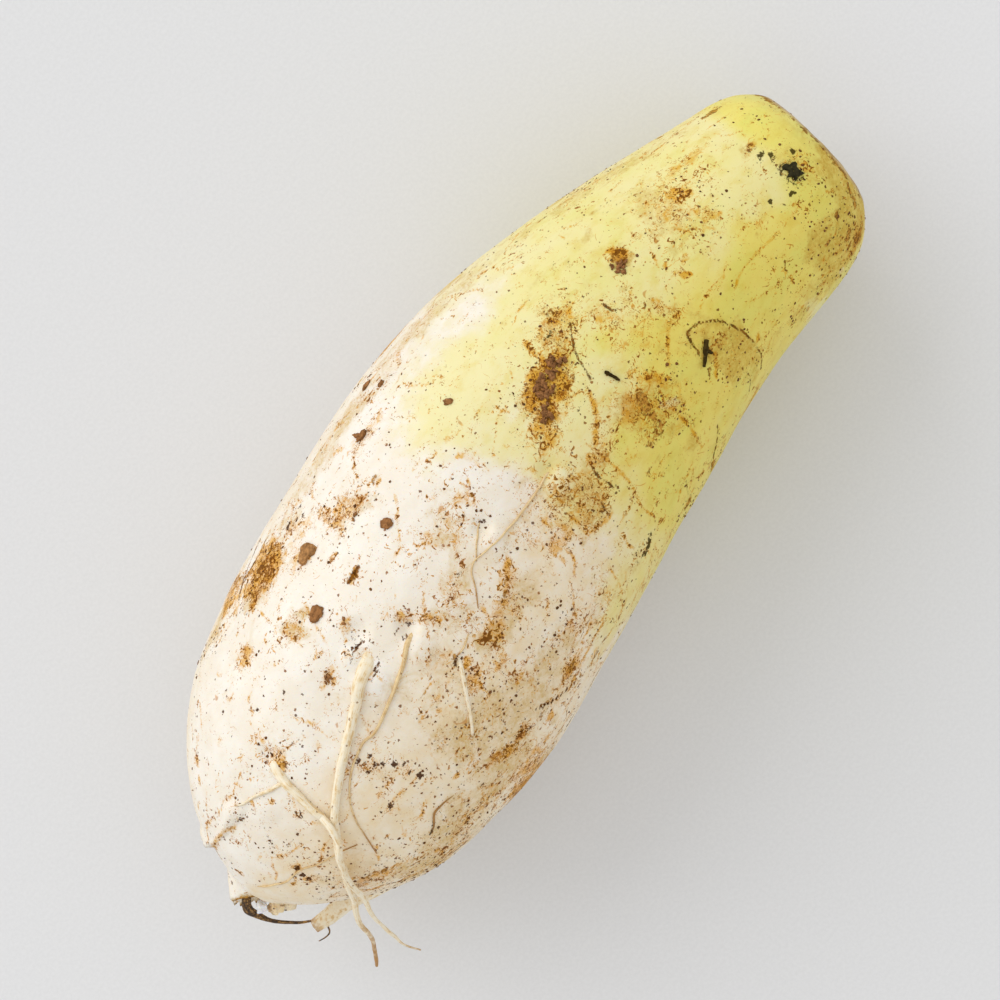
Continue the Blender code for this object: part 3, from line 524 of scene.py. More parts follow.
class RadishRootSettings(bpy.types.PropertyGroup):
    cream: colour_setting("Cream", "Fresh side roots", 244, 233, 208)
    tan: colour_setting("Tan", "Side roots that have begun to dry", 234, 208, 158)
    brown: colour_setting("Brown", "Dried tips", 176, 128, 68)
    dark: colour_setting("Dark", "Withered fibre", 58, 42, 26)
    torn: colour_setting("Torn flesh", "Flesh at the break", 226, 206, 168)


class RadishSoilSettings(bpy.types.PropertyGroup):
    clod: colour_setting("Clod", "Crumbs of soil", 144, 100, 61)
    litter: colour_setting("Litter", "Bits of twig and leaf", 62, 48, 20)
    density: bpy.props.FloatProperty(
        name="Grains", description="Grains of soil on a square metre", default=380000, min=0
    )
    smallest: length_setting("Smallest grain", "Width of the finest grains", 0.25 * MM)
    largest: length_setting("Largest grain", "Width of the coarsest grains", 1.2 * MM)
    seed: bpy.props.IntProperty(name="Seed", description="Changes where grains lie", default=7)


class RadishStudioSettings(bpy.types.PropertyGroup):
    table: colour_setting("Table", "The pale surface", 228, 229, 231)
    sky: bpy.props.FloatProperty(
        name="Room light", description="Strength of the light from all sides", default=0.785, min=0
    )
    lamp: bpy.props.FloatProperty(
        name="Lamp", description="Strength of the big soft lamp", default=1.23, min=0
    )
    camera_height: length_setting("Camera height", "Camera over the table", 0.949)
    view_width: length_setting("View width", "Width seen at the root's middle height", 0.293)
    view_plane: length_setting("View plane", "Height where that width is seen", 0.049)


SETTINGS = {
    "radish_skin": RadishSkinSettings,
    "radish_roots": RadishRootSettings,
    "radish_soil": RadishSoilSettings,
    "radish_studio": RadishStudioSettings,
}


# ---------------------------------------------------------------- shape


def smooth(value):
    """Eases from 0 to 1."""
    value = np.clip(value, 0, 1)
    return value * value * (3 - 2 * value)


def through(rows, count, power=1.0):
    """Points at even distances on a smooth curve through rows."""
    rows = np.array(rows, float)
    knots = np.concatenate(([0], np.cumsum(np.linalg.norm(np.diff(rows, axis=0), axis=1) ** power)))
    at = np.linspace(0, knots[-1], 8 * count)
    i = np.clip(np.searchsorted(knots, at, side="right") - 1, 0, len(rows) - 2)
    before, start, end, after = (np.clip(i + k, 0, len(rows) - 1) for k in (-1, 0, 1, 2))
    gap = knots[end] - knots[start]
    u = ((at - knots[start]) / gap)[:, None]
    leave = (rows[end] - rows[before]) * (gap / (knots[end] - knots[before]))[:, None]
    arrive = (rows[after] - rows[start]) * (gap / (knots[after] - knots[start]))[:, None]
    curve = (
        (2 * u**3 - 3 * u**2 + 1) * rows[start]
        + (u**3 - 2 * u**2 + u) * leave
        + (3 * u**2 - 2 * u**3) * rows[end]
        + (u**3 - u**2) * arrive
    )
    run = np.concatenate(([0], np.cumsum(np.linalg.norm(np.diff(curve, axis=0), axis=1))))
    even = np.linspace(0, run[-1], count)
    return np.stack([np.interp(even, run, column) for column in curve.T], axis=1)


def place(point):
    """A point of the layout, in millimetres, as a place in the model."""
    return np.array(SHIFT) + np.array(point, float) * MM


def unit(way):
    """A way of length 1."""
    return np.array(way) / np.linalg.norm(way)


def length_of(line):
    """The length of a line through points."""
    return sum(np.linalg.norm(end - start) for start, end in zip(line, line[1:]))


def wander(points, size, seed):
    """Smooth noise at each point, from about -1 to 1, with lumps of a size."""
    far = Vector((seed * 3.1, seed * 1.7, seed * 2.3))
    return np.array([noise.noise(Vector(p) / size + far) for p in points])


class Root:
    """The swollen root as upright rings."""

    def __init__(self, rings):
        rows = [
            (a * LENGTH, b * WIDTH, AXIS_AT_TAIL + a * LENGTH * SLOPE, h * WIDTH)
            for a, b, h in SECTIONS
        ]
        self.rows = through(rows, rings, 0.5)

    def spot(self, along, round_):
        """A place on the plain root."""
        x = along * MM
        y, z, half = (np.interp(x, self.rows[:, 0], self.rows[:, k]) for k in (1, 2, 3))
        angle = math.radians(round_)
        side = half * math.sin(angle)
        up = half * math.cos(angle) * ROUNDNESS
        return np.array((x, y + side, z + up)) + np.array(SHIFT)

    def ways_at(self, along, round_):
        """The ways lengthwise and round at a place on the skin."""
        lengthwise = self.spot(along + 0.5, round_) - self.spot(along - 0.5, round_)
        sideways = self.spot(along, round_ + 0.5) - self.spot(along, round_ - 0.5)
        lengthwise /= np.linalg.norm(lengthwise)
        outwards = np.cross(lengthwise, sideways)
        outwards /= np.linalg.norm(outwards)
        return lengthwise, np.cross(outwards, lengthwise)


def skin_net(root, sides):
    """The points and faces of the plain skin."""
    share = np.arange(sides) / sides
    angle = 2 * np.pi * share - TOP_BIAS * np.sin(2 * np.pi * share)
    rings = root.rows[1:-1]
    x, y, z, half = (rings[:, k, None] for k in range(4))
    net = np.stack(
        (
            np.repeat(x, sides, axis=1),
            y + half * np.sin(angle),
            z + half * np.cos(angle) * ROUNDNESS,
        ),
        axis=2,
    )
    count = len(rings)
    poles = root.rows[[0, -1], :3]
    points = np.concatenate((net.reshape(-1, 3), poles)) + np.array(SHIFT)
    first = np.arange(count - 1)[:, None] * sides
    here, after = np.arange(sides), (np.arange(sides) + 1) % sides
    quads = np.stack(
        (first + here, first + sides + here, first + sides + after, first + after), axis=2
    ).reshape(-1, 4)
    last = (count - 1) * sides
    tail, crown = count * sides, count * sides + 1
    caps = [(tail, int(a), int(b)) for a, b in zip(here, after)]
    caps += [(crown, int(last + b), int(last + a)) for a, b in zip(here, after)]
    return points, quads.tolist() + caps


def rise(points, ways, middle, width, height):
    """Raises the points round a middle along their ways, by a soft mound."""
    far = np.linalg.norm(points - middle, axis=1) / (width * MM / 2)
    mound = np.where(far < 1, (1 - np.minimum(far, 1) ** 2) ** 2, 0)
    points += ways * (mound * height * MM)[:, None]


def stand_out(points, plan, blend=0.9 * MM, step=0.25 * MM, beads=24, nearby=14 * MM):
    """Makes a stub stand out of the points as seen from its heart, with a hollow sliced end."""
    heart = place(plan["heart"])
    route = through([place(p) for p in plan["route"]], beads)
    share = np.linspace(0, 1, len(plan["radii"]))
    radii = np.interp(np.linspace(0, 1, beads), share, plan["radii"]) * MM
    middle, out, depth, radius = plan["face"]
    close = np.linalg.norm(points[:, None] - route[None, ::6], axis=2).min(axis=1)
    steps = np.arange(-4 * MM, 9 * MM, step)
    for part in np.array_split(np.where(close < nearby)[0], 20):
        ways = points[part] - heart
        far = np.linalg.norm(ways, axis=1)
        ways /= far[:, None]
        tries = heart + ways[:, None] * (far[:, None] + steps)[..., None]
        inside = (np.linalg.norm(tries[:, :, None] - route, axis=3) - radii).min(axis=2)
        off = tries - place(middle)
        bowl = 1 - np.minimum(np.linalg.norm(off, axis=2) / (radius * MM), 1) ** 2
        inside = np.maximum(inside, off @ unit(out) + bowl * depth * MM)
        within = inside < 0
        last = within.shape[1] - 1 - np.argmax(within[:, ::-1], axis=1)
        last = np.minimum(last, within.shape[1] - 2)
        pick = np.arange(len(part))
        here, after = inside[pick, last], inside[pick, last + 1]
        reach = far + steps[last] + step * np.clip(-here / np.maximum(after - here, 1e-9), 0, 1)
        reach = np.where(within.any(axis=1), reach, far - 1)
        softly = 0.5 * (far + reach + np.sqrt((far - reach) ** 2 + blend**2))
        softly -= 0.5 * blend * np.exp(-np.abs(far - reach) / blend)
        raised = np.where(reach > far - 3 * MM, np.maximum(softly, far), far)
        points[part] = heart + ways * raised[:, None]


def over_crown_face(points):
    """How far each point lies outside the plane of the crown's cut."""
    return (points - place(CROWN_FACE_AT)) @ unit(CROWN_FACE_OUT)


def cut_crown(points, soft=0.35 * MM, ring_height=0.22, ring_turns=26, pith_depth=1.4):
    """Flattens the crown where it was sliced and gives the face its rings and sunken pith."""
    over = over_crown_face(points)
    kept = 0.5 * (over - np.sqrt(over**2 + soft**2)) + soft / 2
    face = over > -0.6 * MM
    points[face] += unit(CROWN_FACE_OUT) * (kept - over)[face, None]
    reach = np.linalg.norm(points - place(CROWN_MIDDLE), axis=1) / CROWN_RADIUS
    rings = ring_height * np.sin(reach * ring_turns) * smooth((1 - reach) * 5)
    pith = -pith_depth * smooth(1 - reach / 0.5)
    uneven = 0.35 * wander(points[face], 6 * MM, 4)
    points[face] += unit(CROWN_FACE_OUT) * ((rings + pith)[face] * MM + uneven * MM)[:, None]


def normals_of(points, faces):
    """The way that the surface looks at each point."""
    mesh = bpy.data.meshes.new("measured")
    mesh.from_pydata(points.tolist(), [], faces)
    mesh.update()
    ways = np.zeros(len(points) * 3, np.float32)
    mesh.vertices.foreach_get("normal", ways)
    bpy.data.meshes.remove(mesh)
    return ways.reshape(-1, 3).astype(float)


def shape_skin(root, settings, soft=0.6 * MM):
    """The points and faces of the skin: lumps, dimples, stubs, the cut crown and the flat belly."""
    points, faces = skin_net(root, settings.sides)
    ways = normals_of(points, faces)
    lumps = wander(points, 34 * MM, 1) + 0.45 * wander(points, 13 * MM, 2)
    lumps += 0.12 * wander(points, 4 * MM, 3)
    points += ways * (lumps * settings.lumpiness)[:, None]
    for sign, mounds in ((-1, DIMPLES), (1, SWELLINGS)):
        for along, round_, height, width in mounds:
            rise(points, ways, root.spot(along, round_), width, sign * height)
    for plan in STANDING_OUT:
        stand_out(points, plan)
    cut_crown(points)
    points[:, 2] = 0.5 * (points[:, 2] + np.sqrt(points[:, 2] ** 2 + soft**2))
    points[:, 2] -= points[:, 2].min()
    return points, faces


class Paint:
    """Amounts painted on the points of the skin, one set for each kind of mark."""

    def __init__(self, root, points):
        self.root = root
        self.points = points
        self.layers = {}
        inner = points - np.array(SHIFT)
        y, z = (np.interp(inner[:, 0], root.rows[:, 0], root.rows[:, k]) for k in (1, 2))
        self.along = inner[:, 0] / MM
        self.round = np.degrees(np.arctan2(inner[:, 1] - y, (inner[:, 2] - z) / ROUNDNESS))

    def lay(self, name, amounts, where=slice(None)):
        """Raises a layer to the amounts, where it is not stronger yet."""
        layer = self.layers.setdefault(name, np.zeros(len(self.points)))
        layer[where] = np.maximum(layer[where], amounts)

    def spot(self, along, round_):
        """The place on the shaped skin over a place of the plain root."""
        plain = self.root.spot(along, round_)
        half = np.interp(along * MM, self.root.rows[:, 0], self.root.rows[:, 3]) / MM
        near = np.argmin((self.along - along) ** 2 + ((self.round - round_) * math.radians(half)) ** 2)
        return plain + self.points[near] - self.root.spot(self.along[near], self.round[near])

    def dab(self, name, along, round_, length, width, amount, turn=0):
        """A cloudy spot."""
        lengthwise, sideways = self.root.ways_at(along, round_)
        off = self.points - self.spot(along, round_)
        near = np.where(np.linalg.norm(off, axis=1) < max(length, width) * MM)[0]
        c, s = math.cos(math.radians(turn)), math.sin(math.radians(turn))
        a, b = off[near] @ lengthwise, off[near] @ sideways
        far = np.hypot((a * c + b * s) / (length * MM / 2), (b * c - a * s) / (width * MM / 2))
        grit = min(length, width) * 0.45 * MM + 0.4 * MM
        far += 0.55 * wander(self.points[near], grit, 11)
        far += 0.3 * wander(self.points[near], 1.1 * MM, 12)
        self.lay(name, amount * smooth(1.5 - far), near)

    def patch(self, name, amount, *corners):
        """Fills an outline on the skin, its edge a little softened."""
        spots = np.stack((self.along, self.round), axis=1)
        low, high = np.min(corners, axis=0) - (2, 3), np.max(corners, axis=0) + (2, 3)
        near = np.where(((spots > low) & (spots < high)).all(axis=1))[0]
        x, y = spots[near].T
        inside = np.zeros(len(near), bool)
        gap = np.full(len(near), 1e9)
        for (ax, ay), (bx, by) in zip(corners, corners[1:] + corners[:1]):
            over, up = bx - ax, by - ay
            inside ^= ((ay > y) != (by > y)) & (x < over * (y - ay) / (up + 1e-9) + ax)
            share = np.clip(((x - ax) * over + (y - ay) * up) / (over**2 + up**2), 0, 1)
            gap = np.minimum(gap, np.hypot(x - ax - share * over, y - ay - share * up))
        gap = np.where(inside, gap, -gap) + 2.6 * wander(self.points[near], 3.4 * MM, 13)
        soft = 3.2 if name == "dust" else 1.0
        self.lay(name, amount * smooth((gap + soft) / (2 * soft)), near)

    def stroke(self, name, amount, width, *route):
        """A line through places on the skin, strongest along its middle."""
        corners = [self.spot(*p) for p in route]
        line = through(corners, max(6, int(length_of(corners) / (0.5 * MM))))
        low, high = line.min(axis=0) - width * MM, line.max(axis=0) + width * MM
        near = np.where(((self.points > low) & (self.points < high)).all(axis=1))[0]
        gap = np.linalg.norm(self.points[near, None] - line[None], axis=2).min(axis=1)
        self.lay(name, amount * np.clip(1 - gap / (width * MM), 0, 1), near)

    def shoulder(self):
        """How green and how deeply green each point is, and how warm in tone and in painted shade."""
        angle = self.round
        uneven = wander(self.points, 16 * MM, 6) + 0.45 * wander(self.points, 6 * MM, 7)
        past = self.along - np.interp(angle, *zip(*SHOULDER_EDGE)) + 13 * uneven
        # The green is thinner on the +Y flank and at the pale spot.
        along, round_, reach, spread = PALE_SPOT
        spot = np.exp(-(((self.along - along) / reach) ** 2) - ((angle - round_) / spread) ** 2)
        flank = smooth((angle - 28 + 9 * uneven) / 26) * smooth((222 - self.along) / 50)
        thin = (1 - 0.5 * flank) * (1 - (0.55 + 0.3 * uneven) * spot)
        self.layers["green"] = smooth((past + 12) / 42) * thin
        # It is deeper from the top round to -Y and underneath, and deepest at the crown.
        facing = np.maximum(smooth((30 - angle + 16 * uneven) / 62), smooth((angle - 90) / 40))
        deep = np.maximum(facing * smooth((past - 2) / 52), 0.4 * smooth((past - 16) / 44))
        self.layers["deep"] = np.maximum(deep * thin, smooth((self.along - 256) / 14))
        # The warm wash is painted shade, strong on the -Y side that is turned from the lamp and weaker low
        # on the other, over a slight warm tone everywhere.
        shade = np.maximum(smooth((8 - angle + 10 * uneven) / 34), 0.5 * smooth((angle - 56) / 24))
        self.layers["wash"] = 0.2 + 0.55 * shade

    def crown_rim(self):
        """Brown along the cut edge, and dry flesh on the sliced face."""
        below = -over_crown_face(self.points) / MM
        self.layers["cut"] = smooth(1 - (below - 0.4) / 1.2)
        rim = np.clip(1 - np.abs(below - 1.4) / 1.8, 0, 1)
        uneven = 0.8 + 0.7 * wander(self.points, 7 * MM, 15) + 0.4 * wander(self.points, 2.2 * MM, 16)
        self.lay("bark", np.clip(0.9 * rim * uneven, 0, 1))
        self.lay("dust", 0.45 * np.clip(1 - below / 9, 0, 1))

    def broken_ends(self):
        """Brown on the broken faces of the tail and of the sliced stub."""
        for plan, amount in zip(STANDING_OUT, (0.95, 0.3)):
            middle, out, _, radius = plan["face"]
            off = self.points - place(middle)
            near = np.linalg.norm(off, axis=1) < (radius + 1.6) * MM
            on_face = near * smooth(1 + off @ unit(out) / MM / 1.2)
            self.lay("bark", amount * on_face)
            self.lay("dust", amount * on_face)

    def stray(self, dice, name, amount, width, along, round_, turn, length):
        """A stroke that strays as it goes, with its turn in degrees and its length in millimetres."""
        route = [(along, round_)]
        for _ in range(dice.randint(2, 4)):
            turn += dice.gauss(0, 18)
            step = length * dice.uniform(0.25, 0.4)
            along += step * math.cos(math.radians(turn))
            round_ += step * math.sin(math.radians(turn)) * 1.2
            route.append((min(max(along, 6), 274), round_))
        self.stroke(name, amount, width, *route)

    def strewn_marks(self):
        """The small marks that are too many to place one by one."""
        dice = random.Random(HIDDEN_SEED + 1)
        for name, dabs, strokes, start, end, low, high, lean in STREWN:
            for _ in range(dabs):
                along, round_ = dice.uniform(start, end), dice.uniform(low, high)
                length = 1.2 + 3.6 * dice.random() ** 2 * (2 if name == "dust" else 1)
                width, amount = length * dice.uniform(0.3, 0.8), 0.3 + 0.4 * dice.random() ** 1.5
                self.dab(name, along, round_, length, width, amount, lean + dice.gauss(0, 40))
            for _ in range(strokes):
                along, round_ = dice.uniform(start, end), dice.uniform(low, high)
                turn = lean + dice.gauss(0, 45) + dice.choice((0, 180))
                length, amount = dice.uniform(3, 12), dice.uniform(0.5, 0.9)
                self.stray(dice, name, amount, 0.85, along, round_, turn, length)

    def hidden_sides(self):
        """Marks strewn over what the top view does not show."""
        dice = random.Random(HIDDEN_SEED)
        for _ in range(HIDDEN_DABS):
            along, round_ = dice.uniform(14, 268), dice.uniform(72, 288)
            # The pale ones are whiter patches in the layer that holds the painted highlights.
            name = dice.choice(("dust", "dust", "rust", "rust", "bark", "specks", "specks", "pale"))
            length = dice.uniform(4, 26) * (0.4 if name == "bark" else 1)
            width, amount = length * dice.uniform(0.25, 0.8), dice.uniform(0.45, 0.9)
            self.dab(name, along, round_, length, width, amount, dice.gauss(0, 40))
        for _ in range(HIDDEN_DABS // 3):
            along, round_ = dice.uniform(20, 260), dice.uniform(76, 284)
            name, amount = dice.choice(("rust", "rust", "line")), dice.uniform(0.6, 0.9)
            self.stray(dice, name, amount, 0.9, along, round_, dice.gauss(180, 40), 16)

    def all_marks(self):
        """Every layer of the skin, by name."""
        for draw, table in ((self.dab, DABS), (self.patch, PATCHES), (self.stroke, STROKES)):
            for name, rows in table.items():
                for row in rows:
                    draw(name, *row)
        self.strewn_marks()
        self.hidden_sides()
        self.shoulder()
        self.crown_rim()
        self.broken_ends()
        self.lay("dust", 0.25 * smooth(1 - np.abs(self.points[:, 2] / MM - 40) / 50))
        self.lay("specks", 0.10)
        return self.layers


def keep_piece(thing, slot, *nodes):
    """Makes an object at the origin ride on the body and hides the nodes it stands for; the slot is not
    used.
    """
    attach(thing, "root")
    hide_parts(*nodes)
    return thing


def link_new(name, data):
    """A new object in the scene, at the origin."""
    thing = bpy.data.objects.new(name, data)
    bpy.context.scene.collection.objects.link(thing)
    return thing


def new_piece(node, net, finish, slot):
    """A finished piece for a node, from its points, its faces and, for a strand, the shares along it."""
    points, faces, *shares = net
    mesh = bpy.data.meshes.new(f"grown_{node}")
    mesh.from_pydata([tuple(p) for p in points], [], faces)
    mesh.materials.append(finish)
    mesh.shade_smooth()
    for uv in shares:
        layer = mesh.uv_layers.new(name="along")
        for loop, spot in zip(mesh.loops, layer.data):
            spot.uv = uv[loop.vertex_index]
    mesh.update()
    return keep_piece(link_new(mesh.name, mesh), slot, node)


def tube(points, width, sides, seed, rough=0.07):
    """Rings of an uneven tube round a line, its faces, and (share along, share round) for each."""
    count = len(points)
    ways = np.gradient(points, axis=0)
    ways /= np.linalg.norm(ways, axis=1)[:, None]
    side = np.cross(ways[0], (0.3, 0.2, 0.93))
    made, uv = [], []
    for i in range(count):
        side = side - ways[i] * (side @ ways[i])
        side /= np.linalg.norm(side)
        other = np.cross(ways[i], side)
        for k in range(sides):
            angle = 2 * math.pi * k / sides
            way = side * math.cos(angle) + other * math.sin(angle)
            spot = Vector(points[i] + way * width[i] / 2)
            bump = noise.noise(spot / (2.2 * MM) + Vector((seed, 0, 0)))
            bump += 0.6 * noise.noise(spot / (0.9 * MM) + Vector((0, seed, 0)))
            groove = 0.5 * math.sin(5 * angle + seed + 14 * i / count)
            made.append(points[i] + way * width[i] / 2 * (1 + rough * (bump + groove)))
            uv.append((i / (count - 1), k / sides))
    faces = []
    for i in range(count - 1):
        for k in range(sides):
            a, b = i * sides + k, i * sides + (k + 1) % sides
            faces.append((a, b, b + sides, a + sides))
    for ring, turn in ((0, -1), (count - 1, 1)):
        rim = [ring * sides + k for k in range(sides)][::turn]
        middle = len(made)
        made.append(np.mean([made[v] for v in rim], axis=0) + ways[ring] * turn * width[ring] * 0.12)
        uv.append((ring / (count - 1), 0.5))
        faces += [(rim[k], rim[(k + 1) % sides], middle) for k in range(sides)]
    return made, faces, uv


class Surface:
    """The finished skin, for laying things on it."""

    def __init__(self, thing):
        points = [v.co.copy() for v in thing.data.vertices]
        self.tree = BVHTree.FromPolygons(points, [tuple(p.vertices) for p in thing.data.polygons])

    def below(self, x, y):
        """Where the skin is met from above, and the way it looks there."""
        spot, way, _, _ = self.tree.ray_cast(Vector((x, y, 1)), Vector((0, 0, -1)))
        if spot is None:
            raise RuntimeError(f"nothing under {x:.4f}, {y:.4f}")
        return spot, way

    def nearest(self, point):
        """The nearest place on the skin, and the way it looks there."""
        spot, way, _, _ = self.tree.find_nearest(Vector(point))
        return spot, way

    def clear(self, point, gap):
        """The point, moved out if it is nearer to the skin than the gap."""
        spot, way = self.nearest(point)
        if (Vector(point) - spot).dot(way) < gap:
            return np.array(spot + way * gap)
        return np.array(point)


def root_line(surface, skin, loose=()):
    """The points a side root passes, and the share of it that lies on the skin."""
    laid = [np.array(surface.below(*place((x, y, 0))[:2])[0]) for x, y in skin]
    controls = laid + [place(p) for p in loose]
    return controls, length_of(laid) / length_of(controls)


def tube_net(name, controls, widths, sides, kink, surface, on_skin, sunk=4 * MM, rough=0.07):
    """An uneven tube through points. Its base rises out of the skin over the sunk length."""
    length = length_of(controls)
    thin = min(width for _, width in widths)
    line = through(controls, max(12, int(length / (max(thin, 0.6) * 0.55 * MM))))
    share = np.linspace(0, 1, len(line))
    width = np.interp(share, *zip(*widths)) * MM
    seed = sum(map(ord, name)) % 50
    sway = np.stack([wander(line, 5 * MM, seed + k) for k in range(3)], axis=1)
    line = line + sway * kink * MM * smooth(share * 12)[:, None]
    if on_skin:
        rise = sunk + 1.2 * width[0]
        risen = np.clip(share * length / rise, 0, 1) if sunk else np.ones(len(line))
        lift = width * (0.94 * risen - 0.64 + 0.12 * smooth(share / on_skin))
        for i in range(len(line)):
            if share[i] <= on_skin:
                spot, way = surface.nearest(line[i])
                line[i] = spot + way * lift[i]
            else:
                line[i] = surface.clear(line[i], 0.46 * width[i])
    return tube(line, width, sides, seed, rough)


def join(nets):
    """Several nets of points, faces and marks along them as one."""
    points, faces, uv = [], [], []
    for net in nets:
        faces += [tuple(v + len(points) for v in face) for face in net[1]]
        points += net[0]
        uv += net[2]
    return points, faces, uv


def net_of(made):
    """The points and faces of a working mesh, which ends here."""
    made.verts.ensure_lookup_table()
    points = [vertex.co.copy() for vertex in made.verts]
    faces = [tuple(v.index for v in face.verts) for face in made.faces]
    made.free()
    return points, faces


def lump(size, detail, broken, dice):
    """A broken lump of a length, width and height, round its middle."""
    made = bmesh.new()
    bmesh.ops.create_icosphere(made, subdivisions=detail, radius=0.5)
    far = Vector([dice.uniform(0, 90) for _ in range(3)])
    for vertex in made.verts:
        way = vertex.co.normalized()
        swell = 1 + broken * 0.9 * noise.noise(way * 1.3 + far)
        swell += broken * 0.45 * noise.noise(way * 3.1 + far)
        swell += broken * 0.22 * noise.noise(way * 7.0 + far)
        swell -= broken * 0.5 * max(0, noise.voronoi(way * 1.6 + far)[0][0] - 0.35)
        vertex.co = Vector(c * s for c, s in zip(vertex.co * swell, size))
    return net_of(made)


def slab_net(corners, height):
    """A flat crumb with broken sides."""
    made = bmesh.new()
    rim = [made.verts.new((x * MM, y * MM, -0.4 * height)) for x, y in corners]
    top = bmesh.ops.extrude_face_region(made, geom=[made.faces.new(rim)])["geom"]
    for vertex in (part for part in top if isinstance(part, bmesh.types.BMVert)):
        vertex.co = (vertex.co.x * 0.9, vertex.co.y * 0.9, 0.6 * height)
    bmesh.ops.triangulate(made, faces=made.faces)
    for _ in range(3):
        bmesh.ops.subdivide_edges(made, edges=made.edges, cuts=1, use_grid_fill=True)
        bmesh.ops.triangulate(made, faces=made.faces)
    for vertex in made.verts:
        vertex.co += noise.noise_vector(vertex.co / (0.9 * MM)) * 0.22 * MM
    bmesh.ops.recalc_face_normals(made, faces=made.faces)
    return net_of(made)


def crumb_net(plan, dice):
    """A crumb lying on the plane: one lump, or several pressed together."""
    length, width, height, _, count, broken = plan
    small = 0.17 if count > 6 else 0.32  # the least share of the crumb's size that a lump has
    points, faces = [], []
    for k in range(count):
        part = 1 if count == 1 else dice.uniform(small, 1.9 * small) * (1.25 if k == 0 else 1)
        size = [length * part, width * part * dice.uniform(0.8, 1.1), height * (0.6 + 0.4 * part)]
        net, sides = lump([s * MM for s in size], 4 if count == 1 else 3, broken, dice)
        turn = dice.uniform(0, 6.3)
        reach = 0 if k == 0 else dice.uniform(0.2, 1.3)
        out = Vector((math.cos(turn) * length * 0.42, math.sin(turn) * width * 0.42, 0)) * reach * MM
        spin = Matrix.Rotation(dice.uniform(0, 3) if count > 1 else 0, 3, "Z")
        start = len(points)
        for p in net:
            p = spin @ p
            p.z = max(p.z, -0.22 * height * MM)
            points.append(p + out)
        faces += [tuple(v + start for v in side) for side in sides]
    return points, faces


# ---------------------------------------------------------------- finishes


class Wiring:
    """Adds nodes to a tree and hands back the sockets that carry on."""

    def __init__(self, tree):
        self.tree = tree

    def add(self, kind, feeds=None, **settings):
        """A new node with its settings, and what its inputs are fed."""
        node = self.tree.nodes.new(kind)
        count = len(self.tree.nodes)
        node.location = (220 * (count % 10), -300 * (count // 10))
        for key, value in settings.items():
            setattr(node, key, value)
        for socket, value in (feeds or {}).items():
            self.feed(node.inputs[socket], value)
        return node

    def feed(self, socket, value):
        if isinstance(value, bpy.types.NodeSocket):
            self.tree.links.new(value, socket)
        elif socket.type == "RGBA" and len(value) == 3:
            socket.default_value = (*value, 1)
        else:
            socket.default_value = value

    def maths(self, operation, *terms):
        """One maths step taken over two or more terms, from the first to the last."""
        total = terms[0]
        for term in terms[1:]:
            total = self.add("ShaderNodeMath", {0: total, 1: term}, operation=operation).outputs[0]
        return total

    def plus(self, *terms):
        return self.maths("ADD", *terms)

    def minus(self, a, b):
        return self.maths("SUBTRACT", a, b)

    def times(self, *terms):
        return self.maths("MULTIPLY", *terms)

    def most(self, *terms):
        return self.maths("MAXIMUM", *terms)

    def swing(self, value, size):
        """A noise value made to swing about nothing, by a size."""
        return self.times(self.minus(value, 0.5), size)

    def vector(self, operation, a, b, out=0):
        return self.add("ShaderNodeVectorMath", {0: a, 1: b}, operation=operation).outputs[out]

    def ramp(self, value, low, high, start=0.0, end=1.0):
        """Eases from start to end while a value goes from low to high."""
        feeds = {"Value": value, "From Min": low, "From Max": high, "To Min": start, "To Max": end}
        return self.add("ShaderNodeMapRange", feeds, interpolation_type="SMOOTHSTEP").outputs[0]

    def mix(self, share, a, b, blend="MIX"):
        feeds = {0: share, 6: a, 7: b}
        return self.add("ShaderNodeMix", feeds, data_type="RGBA", blend_type=blend).outputs[2]

    def tint(self, share, colour, tone):
        """A colour multiplied by a tone, by a share."""
        return self.mix(share, colour, self.mix(1.0, colour, tone, "MULTIPLY"))

    def noise(self, vector, scale, detail=2.0, roughness=0.5, distortion=0.0):
        feeds = {
            "Vector": vector, "Scale": scale, "Detail": detail, "Roughness": roughness,
            "Distortion": distortion,
        }
        return self.add("ShaderNodeTexNoise", feeds).outputs["Fac"]

    def paint(self, name):
        """An amount painted on the points of the mesh."""
        return self.add("ShaderNodeAttribute", attribute_name=name).outputs["Fac"]

    def stretched(self, vector, along, across, up):
        return self.vector("MULTIPLY", vector, (along, across, up))

    def place(self):
        return self.add("ShaderNodeTexCoord").outputs["Object"]

    def group(self, name, **feeds):
        node = self.add("ShaderNodeGroup", node_tree=bpy.data.node_groups[name])
        for key, value in feeds.items():
            self.feed(node.inputs[key], value)
        return node.outputs[0]


def effect(name, ins, out, kind="ShaderNodeTree"):
    """A new node group: its wiring, what it is given by name, and the input of its only result."""
    tree = bpy.data.node_groups.new(name, kind)
    for label, socket_type, default in ins:
        socket = tree.interface.new_socket(name=label, in_out="INPUT", socket_type=socket_type)
        if default is not None:
            socket.default_value = default
    tree.interface.new_socket(name=out[0], in_out="OUTPUT", socket_type=out[1])
    w = Wiring(tree)
    return w, w.add("NodeGroupInput").outputs, w.add("NodeGroupOutput").inputs[0]


NUMBER, GEOMETRY = "NodeSocketFloat", "NodeSocketGeometry"


def surface_effect(name, out, **numbers):
    """A shader group that is given a place and numbers: wiring, place, numbers by name, result."""
    ins = [("Place", "NodeSocketVector", None)]
    ins += [(label, NUMBER, default) for label, default in numbers.items()]
    w, given, result = effect(name, ins, (out, NUMBER))
    return w, given["Place"], given, result


